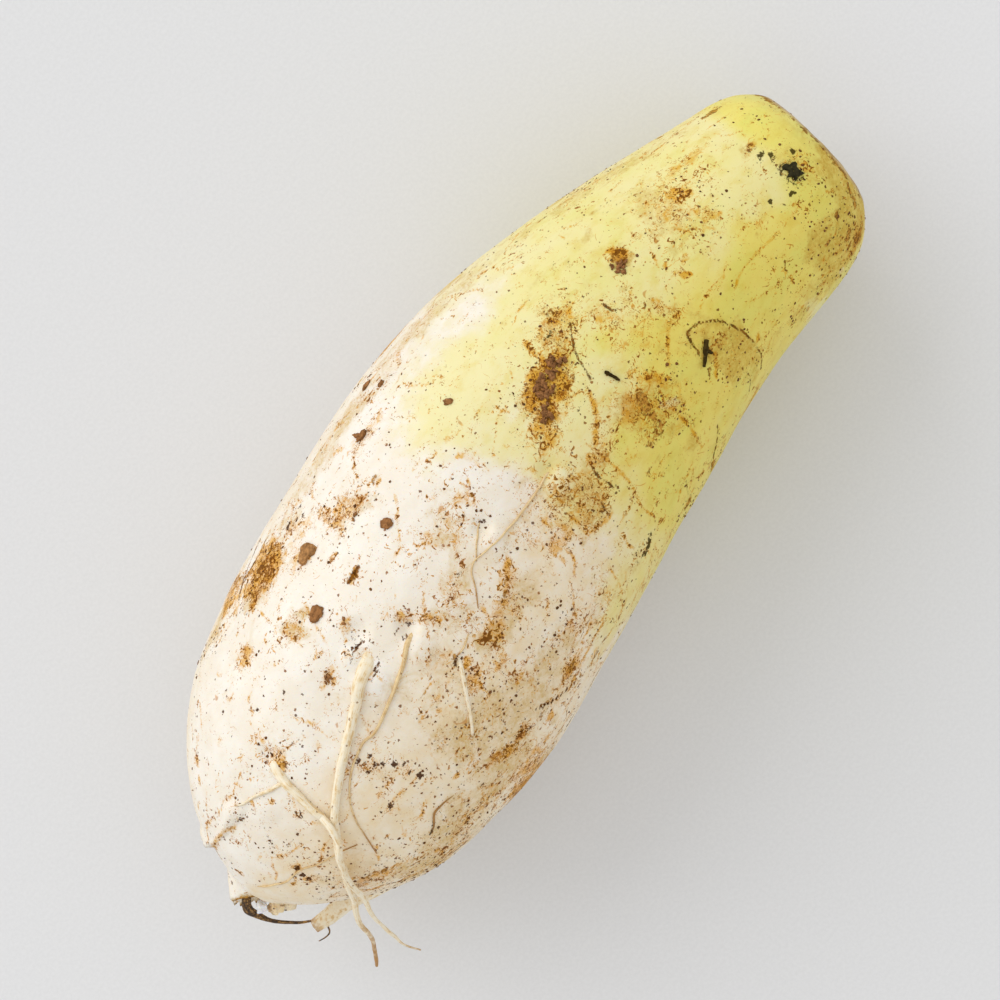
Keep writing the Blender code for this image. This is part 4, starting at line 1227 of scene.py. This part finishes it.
def build_effects():
    """The effects that several finishes share."""
    # A painted amount broken into a stain: a soft cloudy body with a ragged edge.
    w, here, given, result = surface_effect(
        "frayed stain", "Stain", Paint=0.0, Cloud=220.0, Fray=1.0, Edge=0.5, Softness=0.12
    )
    cloud = w.noise(here, given["Cloud"], 4.0, 0.68, 0.6)
    total = w.plus(given["Paint"], w.swing(cloud, given["Fray"]))
    low, high = w.minus(given["Edge"], given["Softness"]), w.plus(given["Edge"], given["Softness"])
    w.feed(result, w.ramp(total, low, high))

    # Short curling flecks, thicker where the amount is greater.
    w, here, given, result = surface_effect("curled flecks", "Flecks", Amount=0.0, Scale=700.0)
    curl = w.noise(here, given["Scale"], 2.0, 0.55, 1.6)
    cloud = w.noise(here, w.times(given["Scale"], 0.22), 2.0, 0.6)
    bar = w.plus(0.72, w.times(given["Amount"], -0.2), w.swing(cloud, -0.45))
    w.feed(result, w.ramp(curl, bar, w.plus(bar, 0.05)))

    # Scattered specks of many sizes: the amount is the share of places that hold one.
    w, here, given, result = surface_effect(
        "freckles", "Freckles", Amount=0.5, Spacing=400.0, Size=0.3
    )
    bend = w.add("ShaderNodeTexNoise", {"Vector": here, "Scale": 1900.0, "Detail": 1.0})
    moved = w.vector("ADD", here, w.vector("MULTIPLY", bend.outputs["Color"], (0.8 * MM,) * 3))
    cells = w.add("ShaderNodeTexVoronoi", {"Vector": moved, "Scale": given["Spacing"]}).outputs
    dice = w.add("ShaderNodeSeparateColor", {0: cells["Color"]}).outputs
    size = w.times(given["Size"], w.plus(0.35, w.times(w.maths("POWER", dice[1], 2.0), 0.65)))
    spot = w.ramp(cells["Distance"], w.times(size, 0.7), size, 1.0, 0.0)
    w.feed(result, w.times(spot, w.maths("LESS_THAN", dice[0], given["Amount"])))

    # Thin curling scratches.
    w, here, given, result = surface_effect(
        "scratches", "Scratches", Amount=0.5, Scale=120.0, Thickness=0.012
    )
    off = w.maths("ABSOLUTE", w.minus(w.noise(here, given["Scale"], 1.0, 0.45, 1.4), 0.5), 0.0)
    line = w.ramp(off, w.times(given["Thickness"], 0.4), given["Thickness"], 1.0, 0.0)
    gate = w.noise(here, w.times(given["Scale"], 2.3), 1.0, 0.5)
    bar = w.minus(0.68, w.times(given["Amount"], 0.26))
    w.feed(result, w.times(line, w.ramp(gate, bar, w.plus(bar, 0.06))))

    # Two sizes of unevenness for a bump.
    w, here, given, result = surface_effect("fine relief", "Height", Scale=300.0)
    coarse = w.noise(here, given["Scale"], 2.0, 0.5)
    fine = w.noise(here, w.times(given["Scale"], 4.3), 1.0, 0.5)
    w.feed(result, w.plus(w.times(coarse, 0.7), w.times(fine, 0.3)))


def new_finish(name, wiring=Wiring):
    """A material with an empty Principled surface: the material, its wiring and that surface."""
    made = bpy.data.materials.new(name)
    made.use_nodes = True
    return made, wiring(made.node_tree), made.node_tree.nodes["Principled BSDF"]


def set_surface(w, surface, colour, roughness, **others):
    """Feeds a Principled surface its colour, its roughness and other inputs."""
    feeds = {"Base Color": colour, "Roughness": roughness}
    feeds.update((key.replace("_", " "), value) for key, value in others.items())
    for key, value in feeds.items():
        w.feed(surface.inputs[key], value)


def scaled(tone, factor):
    """A colour made lighter or darker."""
    return tuple(min(1, part * factor) for part in tone)


def bump(w, height, distance, strength=1.0):
    """A surface way that is bent by a height."""
    feeds = {"Height": height, "Distance": distance, "Strength": strength}
    return w.add("ShaderNodeBump", feeds).outputs[0]


class SkinWiring(Wiring):
    """The skin's wiring, with the places, noises and painted layers that its colours share."""

    PAINTED = (
        "green", "deep", "wash", "dust", "rust", "bark", "grime", "pale", "line", "cut", "specks",
    )

    def __init__(self, tree):
        super().__init__(tree)
        self.here = self.place()
        self.painted = {name: self.paint(name) for name in self.PAINTED}
        self.green = self.painted["green"]
        self.slow = self.noise(self.stretched(self.here, 60.0, 90.0, 90.0), 1.0, 3.0, 0.55)
        self.mottle = self.noise(self.here, 210.0, 3.0, 0.62)
        self.grain = self.noise(self.here, 1000.0, 2.0, 0.6)

    def stain(self, name, cloud, fray, **more):
        """A painted layer broken into a stain."""
        feeds = {"Place": self.here, "Paint": self.painted[name], "Cloud": cloud, "Fray": fray}
        return self.group("frayed stain", **feeds, **more)

    def flecks(self, where, amount, scale):
        """Short curling flecks."""
        return self.group("curled flecks", Place=where, Amount=amount, Scale=scale)

    def dots(self, where, share, spacing, size):
        """Round specks, more of them where the layer of specks is strong."""
        amount = self.plus(0.03, self.times(self.painted["specks"], share))
        return self.group("freckles", Place=where, Amount=amount, Spacing=spacing, Size=size)


def growing_colour(w, c):
    """White flesh, green shoulder and yellow crown, with pale patches of painted highlight and a warm wash
    of painted shade.
    """
    fresh = w.ramp(w.plus(w.slow, w.times(w.mottle, 0.5)), 0.55, 0.95)
    colour = w.mix(fresh, screen(243, 240, 233), c.flesh)
    shade = w.plus(w.green, w.swing(w.mottle, 0.5))
    share = w.times(w.ramp(shade, 0.1, 0.8), w.ramp(w.green, 0.0, 0.2))
    colour = w.mix(share, colour, c.shoulder)
    deep = w.painted["deep"]
    shade = w.plus(deep, w.swing(w.slow, 0.7))
    yellow = w.mix(w.times(w.ramp(w.slow, 0.45, 0.65), 0.4), c.crown, screen(218, 220, 108))
    colour = w.mix(w.times(w.ramp(shade, 0.05, 0.95), w.ramp(deep, 0.0, 0.15)), colour, yellow)
    cloud = w.noise(w.stretched(w.here, 130.0, 190.0, 190.0), 1.0, 4.0, 0.66)
    colour = w.tint(w.times(w.ramp(cloud, 0.46, 0.72), w.green, 0.75), colour, screen(246, 236, 190))
    # The pale layer lays painted highlights and whiter patches, near white that turns pale yellow in the
    # green.
    pale = w.stain("pale", 160.0, 0.5, Softness=0.3)
    light = w.mix(w.green, screen(244, 243, 242), screen(238, 238, 188))
    colour = w.mix(w.times(pale, 0.7), colour, light)
    # Painted shade: a warm darkening, strongest on the flank turned from the lamp, over a slight warm tone
    # everywhere, and weaker in the green.
    wash = w.times(w.painted["wash"], w.ramp(w.mottle, 0.2, 0.8, 0.55, 1.1))
    wash = w.times(wash, w.ramp(w.green, 0.0, 1.0, 1.0, 0.6))
    return w.tint(wash, colour, screen(251, 229, 184))


def rubbed_dust(w, c, colour):
    """The colour under dust that is rubbed into the grain, and where the dust is."""
    dust = w.stain("dust", 150.0, 1.6, Edge=0.55, Softness=0.34)
    dust = w.times(dust, w.ramp(w.grain, 0.3, 0.65, 0.45, 0.85))
    tinted = w.mix(1.0, colour, c.dust, "MULTIPLY")
    cover = w.ramp(w.green, 0.0, 1.0, 0.55, 0.22)
    return w.mix(dust, colour, w.mix(cover, tinted, c.dust)), dust


def golden_stains(w, c, colour):
    """A golden tint, then amber flecks and scratches with dark cores.

    Hands back the colour, and where the tint, the coarse flecks and all flecks are.
    """
    gold = w.stain("rust", 270.0, 1.7, Edge=0.62, Softness=0.3)
    tone = w.mix(w.green, screen(241, 192, 88), screen(240, 188, 62))
    colour = w.tint(w.times(gold, 0.85), colour, tone)
    amber = w.mix(w.ramp(w.noise(w.here, 330.0, 2.0), 0.4, 0.62), c.rust, screen(186, 118, 32))
    amounts = (("rust", 1.1), ("dust", 0.3), ("specks", 0.12))
    dirt = w.plus(*(w.times(w.painted[name], share) for name, share in amounts), 0.08)
    less = w.minus(w.times(dirt, 0.95), 0.3)
    flip = w.stretched(w.here, 1.0, 1.0, -1.0)
    coarse_scale, fine_scale = 520.0, 1150.0
    flecks = w.flecks(w.here, dirt, coarse_scale)
    fine = w.flecks(flip, w.plus(dirt, 0.1), fine_scale)
    lines = w.group("scratches", Place=w.here, Amount=dirt, Scale=110.0)
    flecked = w.most(flecks, w.times(fine, 0.8), w.times(lines, 0.75))
    colour = w.mix(w.times(flecked, 0.8), colour, amber)
    cores = w.most(w.flecks(w.here, less, coarse_scale), w.flecks(flip, less, fine_scale))
    return w.mix(w.times(cores, 0.9), colour, c.bark), gold, flecks, flecked


def scars_and_specks(w, c, colour):
    """Corky scars, drawn lines, grime with painted shade in dimples and crevices, and specks.

    Hands back the colour, and where the scars, the lines and the dark spots, painted shade among them, are.
    """
    bark = w.stain("bark", 620.0, 2.2, Edge=0.62)
    corky = w.mix(w.ramp(w.grain, 0.38, 0.62), c.bark, screen(196, 142, 60))
    colour = w.mix(w.times(bark, 0.9), colour, corky)
    line = w.stain("line", 700.0, 1.2)
    pencil = w.mix(w.ramp(w.grain, 0.4, 0.6), screen(78, 44, 8), screen(136, 84, 20))
    colour = w.mix(w.times(line, 0.92), colour, pencil)
    # The grime layer holds dark specks and painted shade in the dimples and crevices.
    grime = w.times(w.stain("grime", 900.0, 2.0, Edge=0.6), 0.95)
    small = w.dots(w.here, 0.5, 900.0, 0.47)
    large = w.dots(w.stretched(w.here, -1.0, 1.0, 1.0), 0.3, 380.0, 0.25)
    dark = w.most(w.times(small, 0.85), w.times(large, 0.95), grime)
    brown = w.mix(w.ramp(w.mottle, 0.4, 0.6), screen(84, 44, 6), screen(146, 84, 14))
    black = w.mix(w.green, c.grime, screen(68, 56, 20))
    return w.mix(dark, colour, w.mix(w.ramp(grime, 0.2, 0.5), brown, black)), bark, line, dark


def sliced_face(w, colour):
    """The colour with the crown's dry cut face: rings, and a lighter middle."""
    dry = w.mix(w.ramp(w.mottle, 0.3, 0.7), screen(196, 166, 112), screen(148, 112, 68))
    reach = w.vector("DISTANCE", w.here, tuple(place(CROWN_MIDDLE)), "Value")
    reach = w.plus(reach, w.times(w.mottle, 3 * MM))
    wave = w.maths("SINE", w.times(reach, 2 * math.pi / (2.6 * MM)), 0.0)
    dry = w.mix(w.times(w.ramp(wave, -1.0, 1.0), 0.17), dry, screen(226, 204, 156))
    dry = w.mix(w.ramp(reach, 5 * MM, 12 * MM, 0.55, 0.0), dry, screen(232, 218, 170))
    return w.mix(w.times(w.painted["cut"], 0.95), colour, dry)


def skin_finish(c):
    """The whole skin, duller and rougher where it is dirty and where shade is painted."""
    made, w, surface = new_finish("radish_skin", SkinWiring)
    colour, dust = rubbed_dust(w, c, growing_colour(w, c))
    colour, gold, flecks, flecked = golden_stains(w, c, colour)
    colour, bark, line, dark = scars_and_specks(w, c, colour)
    worn = w.most(dark, line, bark, w.times(dust, 0.8))
    dull = w.most(worn, flecked, w.times(gold, 0.8))
    relief = w.group("fine relief", Place=w.here, Scale=260.0)
    height = w.plus(w.times(relief, 0.5), w.times(bark, 0.35), w.times(line, -0.5), w.times(flecks, 0.12))
    set_surface(
        w, surface, sliced_face(w, colour), w.ramp(worn, 0.0, 1.0, 0.42, 0.85),
        Specular_IOR_Level=w.ramp(dull, 0.0, 0.8, 0.5, 0.04), Normal=bump(w, height, 0.5 * MM, 0.5),
        Subsurface_Weight=0.08, Subsurface_Radius=(0.006, 0.004, 0.002), Subsurface_Scale=0.5,
    )
    return made


def strand_finish(name, fresh, old, tip, tip_from, aged_share, roughness):
    """Side roots, hairs and fibre: a colour along the strand, grooves and specks."""
    made, w, surface = new_finish(name)
    here = w.place()
    run = w.add("ShaderNodeSeparateXYZ", {0: w.add("ShaderNodeUVMap", uv_map="along").outputs[0]})
    share, turn = run.outputs[0], w.times(run.outputs[1], 2 * math.pi)
    round_it = {0: w.times(share, 9.0), 1: w.maths("COSINE", turn, 0.0), 2: w.maths("SINE", turn, 0.0)}
    grooves = w.noise(w.add("ShaderNodeCombineXYZ", round_it).outputs[0], 2.2, 3.0, 0.6)
    blotch = w.noise(here, 420.0, 3.0, 0.6)
    aged = w.ramp(w.plus(grooves, w.times(blotch, 0.8)), 0.78, 1.08)
    colour = w.mix(w.times(aged, aged_share), fresh, old)
    towards = w.plus(share, w.swing(blotch, 0.3))
    colour = w.mix(w.ramp(towards, tip_from, tip_from + 0.16), colour, tip)
    streaks = w.ramp(w.plus(grooves, w.swing(blotch, 0.5)), 0.56, 0.66)
    colour = w.mix(w.times(streaks, 0.6), colour, screen(206, 162, 94))
    flecks = w.group("curled flecks", Place=here, Amount=0.35, Scale=900.0)
    colour = w.mix(w.times(flecks, 0.7), colour, old)
    dirt = w.group("freckles", Place=here, Amount=0.1, Spacing=800.0, Size=0.4)
    colour = w.mix(w.times(dirt, 0.8), colour, screen(140, 96, 48))
    rough = w.ramp(blotch, 0.3, 0.7, roughness - 0.1, roughness + 0.1)
    relief = w.group("fine relief", Place=here, Scale=900.0)
    height = w.plus(relief, w.times(grooves, 0.8))
    set_surface(w, surface, colour, rough, Normal=bump(w, height, 0.15 * MM, 0.8))
    return made


def soil_finish(name, tone, pale):
    """Clumps of soil in two tones, with pale sand in it."""
    made, w, surface = new_finish(name)
    here = w.place()
    clumps = w.noise(here, 700.0, 3.0, 0.65)
    sand = w.group("freckles", Place=here, Amount=0.4, Spacing=1500.0, Size=0.4)
    colour = w.mix(w.ramp(clumps, 0.3, 0.7), scaled(tone, 0.62), scaled(tone, 1.45))
    relief = w.group("fine relief", Place=here, Scale=1100.0)
    set_surface(
        w, surface, w.mix(w.times(sand, 0.5), colour, pale), w.ramp(clumps, 0.3, 0.7, 0.85, 1.0),
        Normal=bump(w, relief, 0.25 * MM), Specular_IOR_Level=0.06,
    )
    return made


def flesh_finish(name, tone, wet, stain):
    """Torn fibres of flesh, stained brown, with specks."""
    made, w, surface = new_finish(name)
    here = w.place()
    fibres = w.noise(w.stretched(here, 500.0, 500.0, 1500.0), 1.0, 3.0, 0.6)
    colour = w.mix(w.ramp(fibres, 0.3, 0.7), tone, scaled(tone, 1.25))
    brown = w.group("frayed stain", Place=here, Paint=stain, Cloud=380.0, Fray=1.6)
    colour = w.mix(w.times(brown, 0.8), colour, screen(150, 104, 52))
    specks = w.group("freckles", Place=here, Amount=0.25, Spacing=800.0, Size=0.4)
    relief = w.group("fine relief", Place=here, Scale=700.0)
    set_surface(
        w, surface, w.mix(specks, colour, screen(70, 50, 30)), w.ramp(fibres, 0.3, 0.7, wet, wet + 0.25),
        Normal=bump(w, relief, 0.3 * MM),
        Subsurface_Weight=0.25, Subsurface_Radius=(0.004, 0.003, 0.0015), Subsurface_Scale=0.5,
    )
    return made


def table_finish(tone):
    """A plain pale surface."""
    made, w, surface = new_finish("studio_table")
    grain = w.noise(w.place(), 900.0, 2.0, 0.6)
    colour = w.mix(w.ramp(grain, 0.2, 0.8), scaled(tone, 0.97), scaled(tone, 1.02))
    set_surface(w, surface, colour, 0.75)
    return made


# ---------------------------------------------------------------- operators


class RADISH_OT_grow_skin(bpy.types.Operator):
    """Grow the swollen root with its marked skin"""

    bl_idname = "radish.grow_skin"
    bl_label = "Skin"

    def execute(self, context):
        settings = context.scene.radish_skin
        root = Root(settings.rings)
        points, faces = shape_skin(root, settings)
        skin = new_piece("radish_body", (points, faces), skin_finish(settings), "skin")
        for name, amounts in Paint(root, points).all_marks().items():
            layer = skin.data.attributes.new(name, "FLOAT", "POINT")
            layer.data.foreach_set("value", amounts.astype(np.float32))
        return {"FINISHED"}


def finished_skin():
    """The skin, which the other steps need."""
    skin = bpy.data.objects.get("grown_radish_body")
    if skin is None:
        raise RuntimeError("grow the skin first")
    return skin


class RADISH_OT_lay_roots(bpy.types.Operator):
    """Lay the side roots, the root hairs and the withered fibre"""

    bl_idname = "radish.lay_roots"
    bl_label = "Side roots and hairs"

    def execute(self, context):
        c = context.scene.radish_roots
        surface = Surface(finished_skin())
        looks = {  # fresh, old and tip colour, where the tip starts, share that is aged, roughness
            "side_root": (c.cream, c.tan, c.brown, 0.9, 0.75, 0.5),
            "tipped_root": (c.cream, c.tan, c.brown, 0.78, 0.75, 0.5),
            "root_hair": (c.tan, c.brown, c.brown, 0.78, 0.45, 0.6),
            "dried_fibre": (c.dark, c.brown, c.brown, 0.9, 0.35, 0.8),
            "brown_hair": (c.brown, c.dark, c.dark, 0.8, 0.5, 0.8),
        }
        finishes = {name: strand_finish(name, *look) for name, look in looks.items()}
        for name, differs in ROOTS.items():
            plan = {**STRAND, **differs}
            controls, on_skin = root_line(surface, plan["skin"], plan["loose"])
            net = tube_net(name, controls, plan["widths"], plan["sides"], plan["kink"], surface, on_skin)
            new_piece(name, net, finishes[plan.get("finish", plan["slot"])], plan["slot"])
        root = Root(context.scene.radish_skin.rings)
        for name, (route, width) in FLANK_ROOTS.items():
            controls = [root.spot(*spot) for spot in route]
            widths = ((0, width * 1.5), (0.1, width), (1, width * 0.4))
            net = tube_net(name, controls, widths, 8, 0.3, surface, 1)
            new_piece(name, net, finishes["root_hair"], "root_hair")
        return {"FINISHED"}


class RADISH_OT_tear_tail(bpy.types.Operator):
    """Hang the torn flesh under the broken tail"""

    bl_idname = "radish.tear_tail"
    bl_label = "Torn flesh"

    def execute(self, context):
        looks = {  # colour, roughness of the wettest fibres, how stained
            "torn_flesh_white": (screen(236, 238, 244), 0.25, 0.05),
            "torn_flesh_beige": (context.scene.radish_roots.torn, 0.4, 0.42),
            "torn_flesh_clear": (screen(222, 208, 178), 0.2, 0.2),
        }
        dice = random.Random(CRUMB_SEED)
        spin = Matrix.Rotation(math.radians(CAMERA_TURN), 3, "Z")
        for name, (middle, size, broken) in TORN_FLESH.items():
            net, faces = lump([s * MM for s in size], 4, broken, dice)
            points = [place(middle) + np.array(spin @ p) for p in net]
            new_piece(name, (points, faces), flesh_finish(name, *looks[name]), "torn_flesh")
        return {"FINISHED"}


class RADISH_OT_drop_crumbs(bpy.types.Operator):
    """Stick the crumbs of soil and the bits of twig on the skin"""

    bl_idname = "radish.drop_crumbs"
    bl_label = "Crumbs and litter"

    def execute(self, context):
        c = context.scene.radish_soil
        surface = Surface(finished_skin())
        looks = {  # colour, and colour of the sand in it
            "soil": (c.clod, screen(190, 146, 100)),
            "soil_slab": (screen(162, 118, 73), screen(200, 164, 118)),
            "soil_black": (screen(52, 48, 30), screen(110, 100, 36)),
            "plant_litter": (c.litter, screen(120, 112, 70)),
        }
        finishes = {name: soil_finish(name, *look) for name, look in looks.items()}
        dice = random.Random(CRUMB_SEED)
        for number, plan in enumerate(CRUMBS, start=1):
            node = f"soil_crumb_{number:02d}"
            height, turn = plan[2] * MM, math.radians(plan[3])
            low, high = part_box(node)
            spot, way = surface.nearest((low + high) / 2)
            lengthwise = (Vector((1, 0, 0)) - way * way.x).normalized()
            turned = Matrix.Rotation(turn, 3, way) @ lengthwise
            lie = Matrix((turned, way.cross(turned), way)).transposed()
            look, (net, faces) = "soil", crumb_net(plan, dice)
            if number in SLABS:
                look, corners = SLABS[number]
                net, faces = slab_net(corners, height)
            points = [spot + lie @ (p + Vector((0, 0, 0.16 * height))) for p in net]
            new_piece(node, (points, faces), finishes[look], "soil")
        for name, branches in TWIGS.items():
            nets = []
            for route, widths in branches:
                controls, _ = root_line(surface, route)
                nets.append(tube_net(name, controls, widths, 10, 0.5, surface, 1, sunk=0, rough=0.3))
            new_piece(name, join(nets), finishes["plant_litter"], "plant_litter")
        return {"FINISHED"}


def grain_tree(finish):
    """Geometry nodes that strew flat uneven grains over a painted surface."""
    ins = (
        ("Skin", GEOMETRY, None), ("Density", NUMBER, 1000.0), ("Smallest", NUMBER, 0.3 * MM),
        ("Largest", NUMBER, 1 * MM), ("Seed", "NodeSocketInt", 0),
    )
    w, given, result = effect("soil grains", ins, ("Grains", GEOMETRY), "GeometryNodeTree")

    def made(kind, feeds, **settings):
        return w.add(kind, feeds, **settings).outputs[0]

    def chance(low, high, seed):
        feeds = {2: low, 3: high, "Seed": seed}
        return w.add("FunctionNodeRandomValue", feeds, data_type="FLOAT").outputs[1]

    amount = made("GeometryNodeInputNamedAttribute", {"Name": "specks"}, data_type="FLOAT")
    thick = w.times(w.maths("POWER", amount, 1.3), given["Density"])
    feeds = {"Mesh": given["Skin"], "Density": thick, "Seed": given["Seed"]}
    strewn = w.add("GeometryNodeDistributePointsOnFaces", feeds, distribute_method="RANDOM").outputs
    share = w.maths("POWER", chance(0.0, 1.0, 3), 4.0)
    width = w.plus(given["Smallest"], w.times(share, w.minus(given["Largest"], given["Smallest"])))
    narrow, low = w.times(width, chance(0.5, 1.0, 5)), w.times(width, chance(0.22, 0.5, 9))
    size = made("ShaderNodeCombineXYZ", {0: width, 1: narrow, 2: low})
    spin = made("ShaderNodeCombineXYZ", {2: chance(0.0, 6.283, 12)})
    about = made("FunctionNodeEulerToRotation", {0: spin})
    lie = made("FunctionNodeRotateRotation", {0: strewn["Rotation"], 1: about}, rotation_space="LOCAL")
    grain = made("GeometryNodeMeshIcoSphere", {"Radius": 0.5, "Subdivisions": 1})
    feeds = {"Points": strewn["Points"], "Instance": grain, "Rotation": lie, "Scale": size}
    real = made("GeometryNodeRealizeInstances", {0: made("GeometryNodeInstanceOnPoints", feeds)})
    feeds = {"Vector": made("GeometryNodeInputPosition", {}), "Scale": 2600.0, "Detail": 1.0}
    field = w.add("ShaderNodeTexNoise", feeds).outputs["Color"]
    jag = w.vector("MULTIPLY", w.vector("SUBTRACT", field, (0.5,) * 3), (0.7 * MM,) * 3)
    uneven = made("GeometryNodeSetPosition", {"Geometry": real, "Offset": jag})
    soft = made("GeometryNodeSetShadeSmooth", {"Geometry": uneven})
    w.feed(result, made("GeometryNodeSetMaterial", {"Geometry": soft, "Material": finish}))
    return w.tree


class RADISH_OT_strew_grains(bpy.types.Operator):
    """Strew fine grains of soil over the skin"""

    bl_idname = "radish.strew_grains"
    bl_label = "Soil grains"

    def execute(self, context):
        c = context.scene.radish_soil
        host = link_new("grain_host", finished_skin().data.copy())
        step = host.modifiers.new("grains", "NODES")
        step.node_group = grain_tree(soil_finish("soil_grain", screen(112, 74, 42), screen(170, 116, 60)))
        values = {"Density": c.density, "Smallest": c.smallest, "Largest": c.largest, "Seed": c.seed}
        for item in step.node_group.interface.items_tree:
            if item.name in values and item.in_out == "INPUT":
                step[item.identifier] = values[item.name]
        context.view_layer.update()
        evaluated = host.evaluated_get(context.evaluated_depsgraph_get())
        mesh = bpy.data.meshes.new_from_object(evaluated)
        bpy.data.objects.remove(host)
        if not mesh.polygons:
            raise RuntimeError("no grains were strewn")
        mesh.name = "soil_grains"
        for left in list(mesh.attributes):
            if left.data_type == "FLOAT":
                mesh.attributes.remove(left)
        keep_piece(link_new("soil_grains", mesh), "soil")
        return {"FINISHED"}


class RADISH_OT_set_studio(bpy.types.Operator):
    """Set up the table, the lights and the camera over the radish"""

    bl_idname = "radish.set_studio"
    bl_label = "Studio"

    def execute(self, context):
        scene = context.scene
        c = scene.radish_studio
        made = bmesh.new()
        bmesh.ops.create_grid(made, x_segments=2, y_segments=2, size=TABLE_REACH)
        mesh = bpy.data.meshes.new("studio_table")
        made.to_mesh(mesh)
        made.free()
        mesh.materials.append(table_finish(c.table))
        table = link_new("studio_table", mesh)
        world = bpy.data.worlds.new("studio_room")
        world.use_nodes = True
        back = world.node_tree.nodes["Background"]
        back.inputs["Color"].default_value = (1.0, 0.995, 0.985, 1)
        back.inputs["Strength"].default_value = c.sky
        scene.world = world
        light = bpy.data.lights.new("studio_lamp", "SUN")
        light.energy = c.lamp
        light.angle = math.radians(LAMP_SPREAD)
        light.color = (1.0, 0.99, 0.975)
        lamp = link_new("studio_lamp", light)
        lamp.rotation_euler = LAMP_FROM.to_track_quat("Z", "Y").to_euler()
        eye = bpy.data.cameras.new("studio_camera")
        eye.sensor_width = SENSOR
        eye.lens = SENSOR * (c.camera_height - c.view_plane) / c.view_width
        eye.clip_start, eye.clip_end = 0.05, 20
        camera = link_new("studio_camera", eye)
        camera.location = (*CAMERA_OVER, c.camera_height)
        camera.rotation_euler = (0, 0, math.radians(CAMERA_TURN))
        scene.camera = camera
        scene.view_settings.view_transform = "Standard"
        return {"FINISHED"}


STEPS = (
    RADISH_OT_set_studio, RADISH_OT_grow_skin, RADISH_OT_lay_roots, RADISH_OT_tear_tail,
    RADISH_OT_drop_crumbs, RADISH_OT_strew_grains,
)


class VIEW3D_PT_radish(bpy.types.Panel):
    """The steps that dress the radish, with their settings"""

    bl_label = "Daikon Radish"
    bl_space_type = "VIEW_3D"
    bl_region_type = "UI"
    bl_category = "Radish"

    def draw(self, context):
        for step in STEPS:
            self.layout.operator(step.bl_idname)
        for name in SETTINGS:
            group = getattr(context.scene, name)
            box = self.layout.box()
            for key in group.__annotations__:
                box.prop(group, key)


def register():
    for group in SETTINGS.values():
        bpy.utils.register_class(group)
    for name, group in SETTINGS.items():
        setattr(bpy.types.Scene, name, bpy.props.PointerProperty(type=group))
    for step in (*STEPS, VIEW3D_PT_radish):
        bpy.utils.register_class(step)


def unregister():
    for step in (*STEPS, VIEW3D_PT_radish):
        bpy.utils.unregister_class(step)
    for name, group in SETTINGS.items():
        delattr(bpy.types.Scene, name)
        bpy.utils.unregister_class(group)


def main():
    register()
    build_effects()
    for step in STEPS:
        family, name = step.bl_idname.split(".")
        getattr(getattr(bpy.ops, family), name)()


if __name__ == "__main__":
    main()
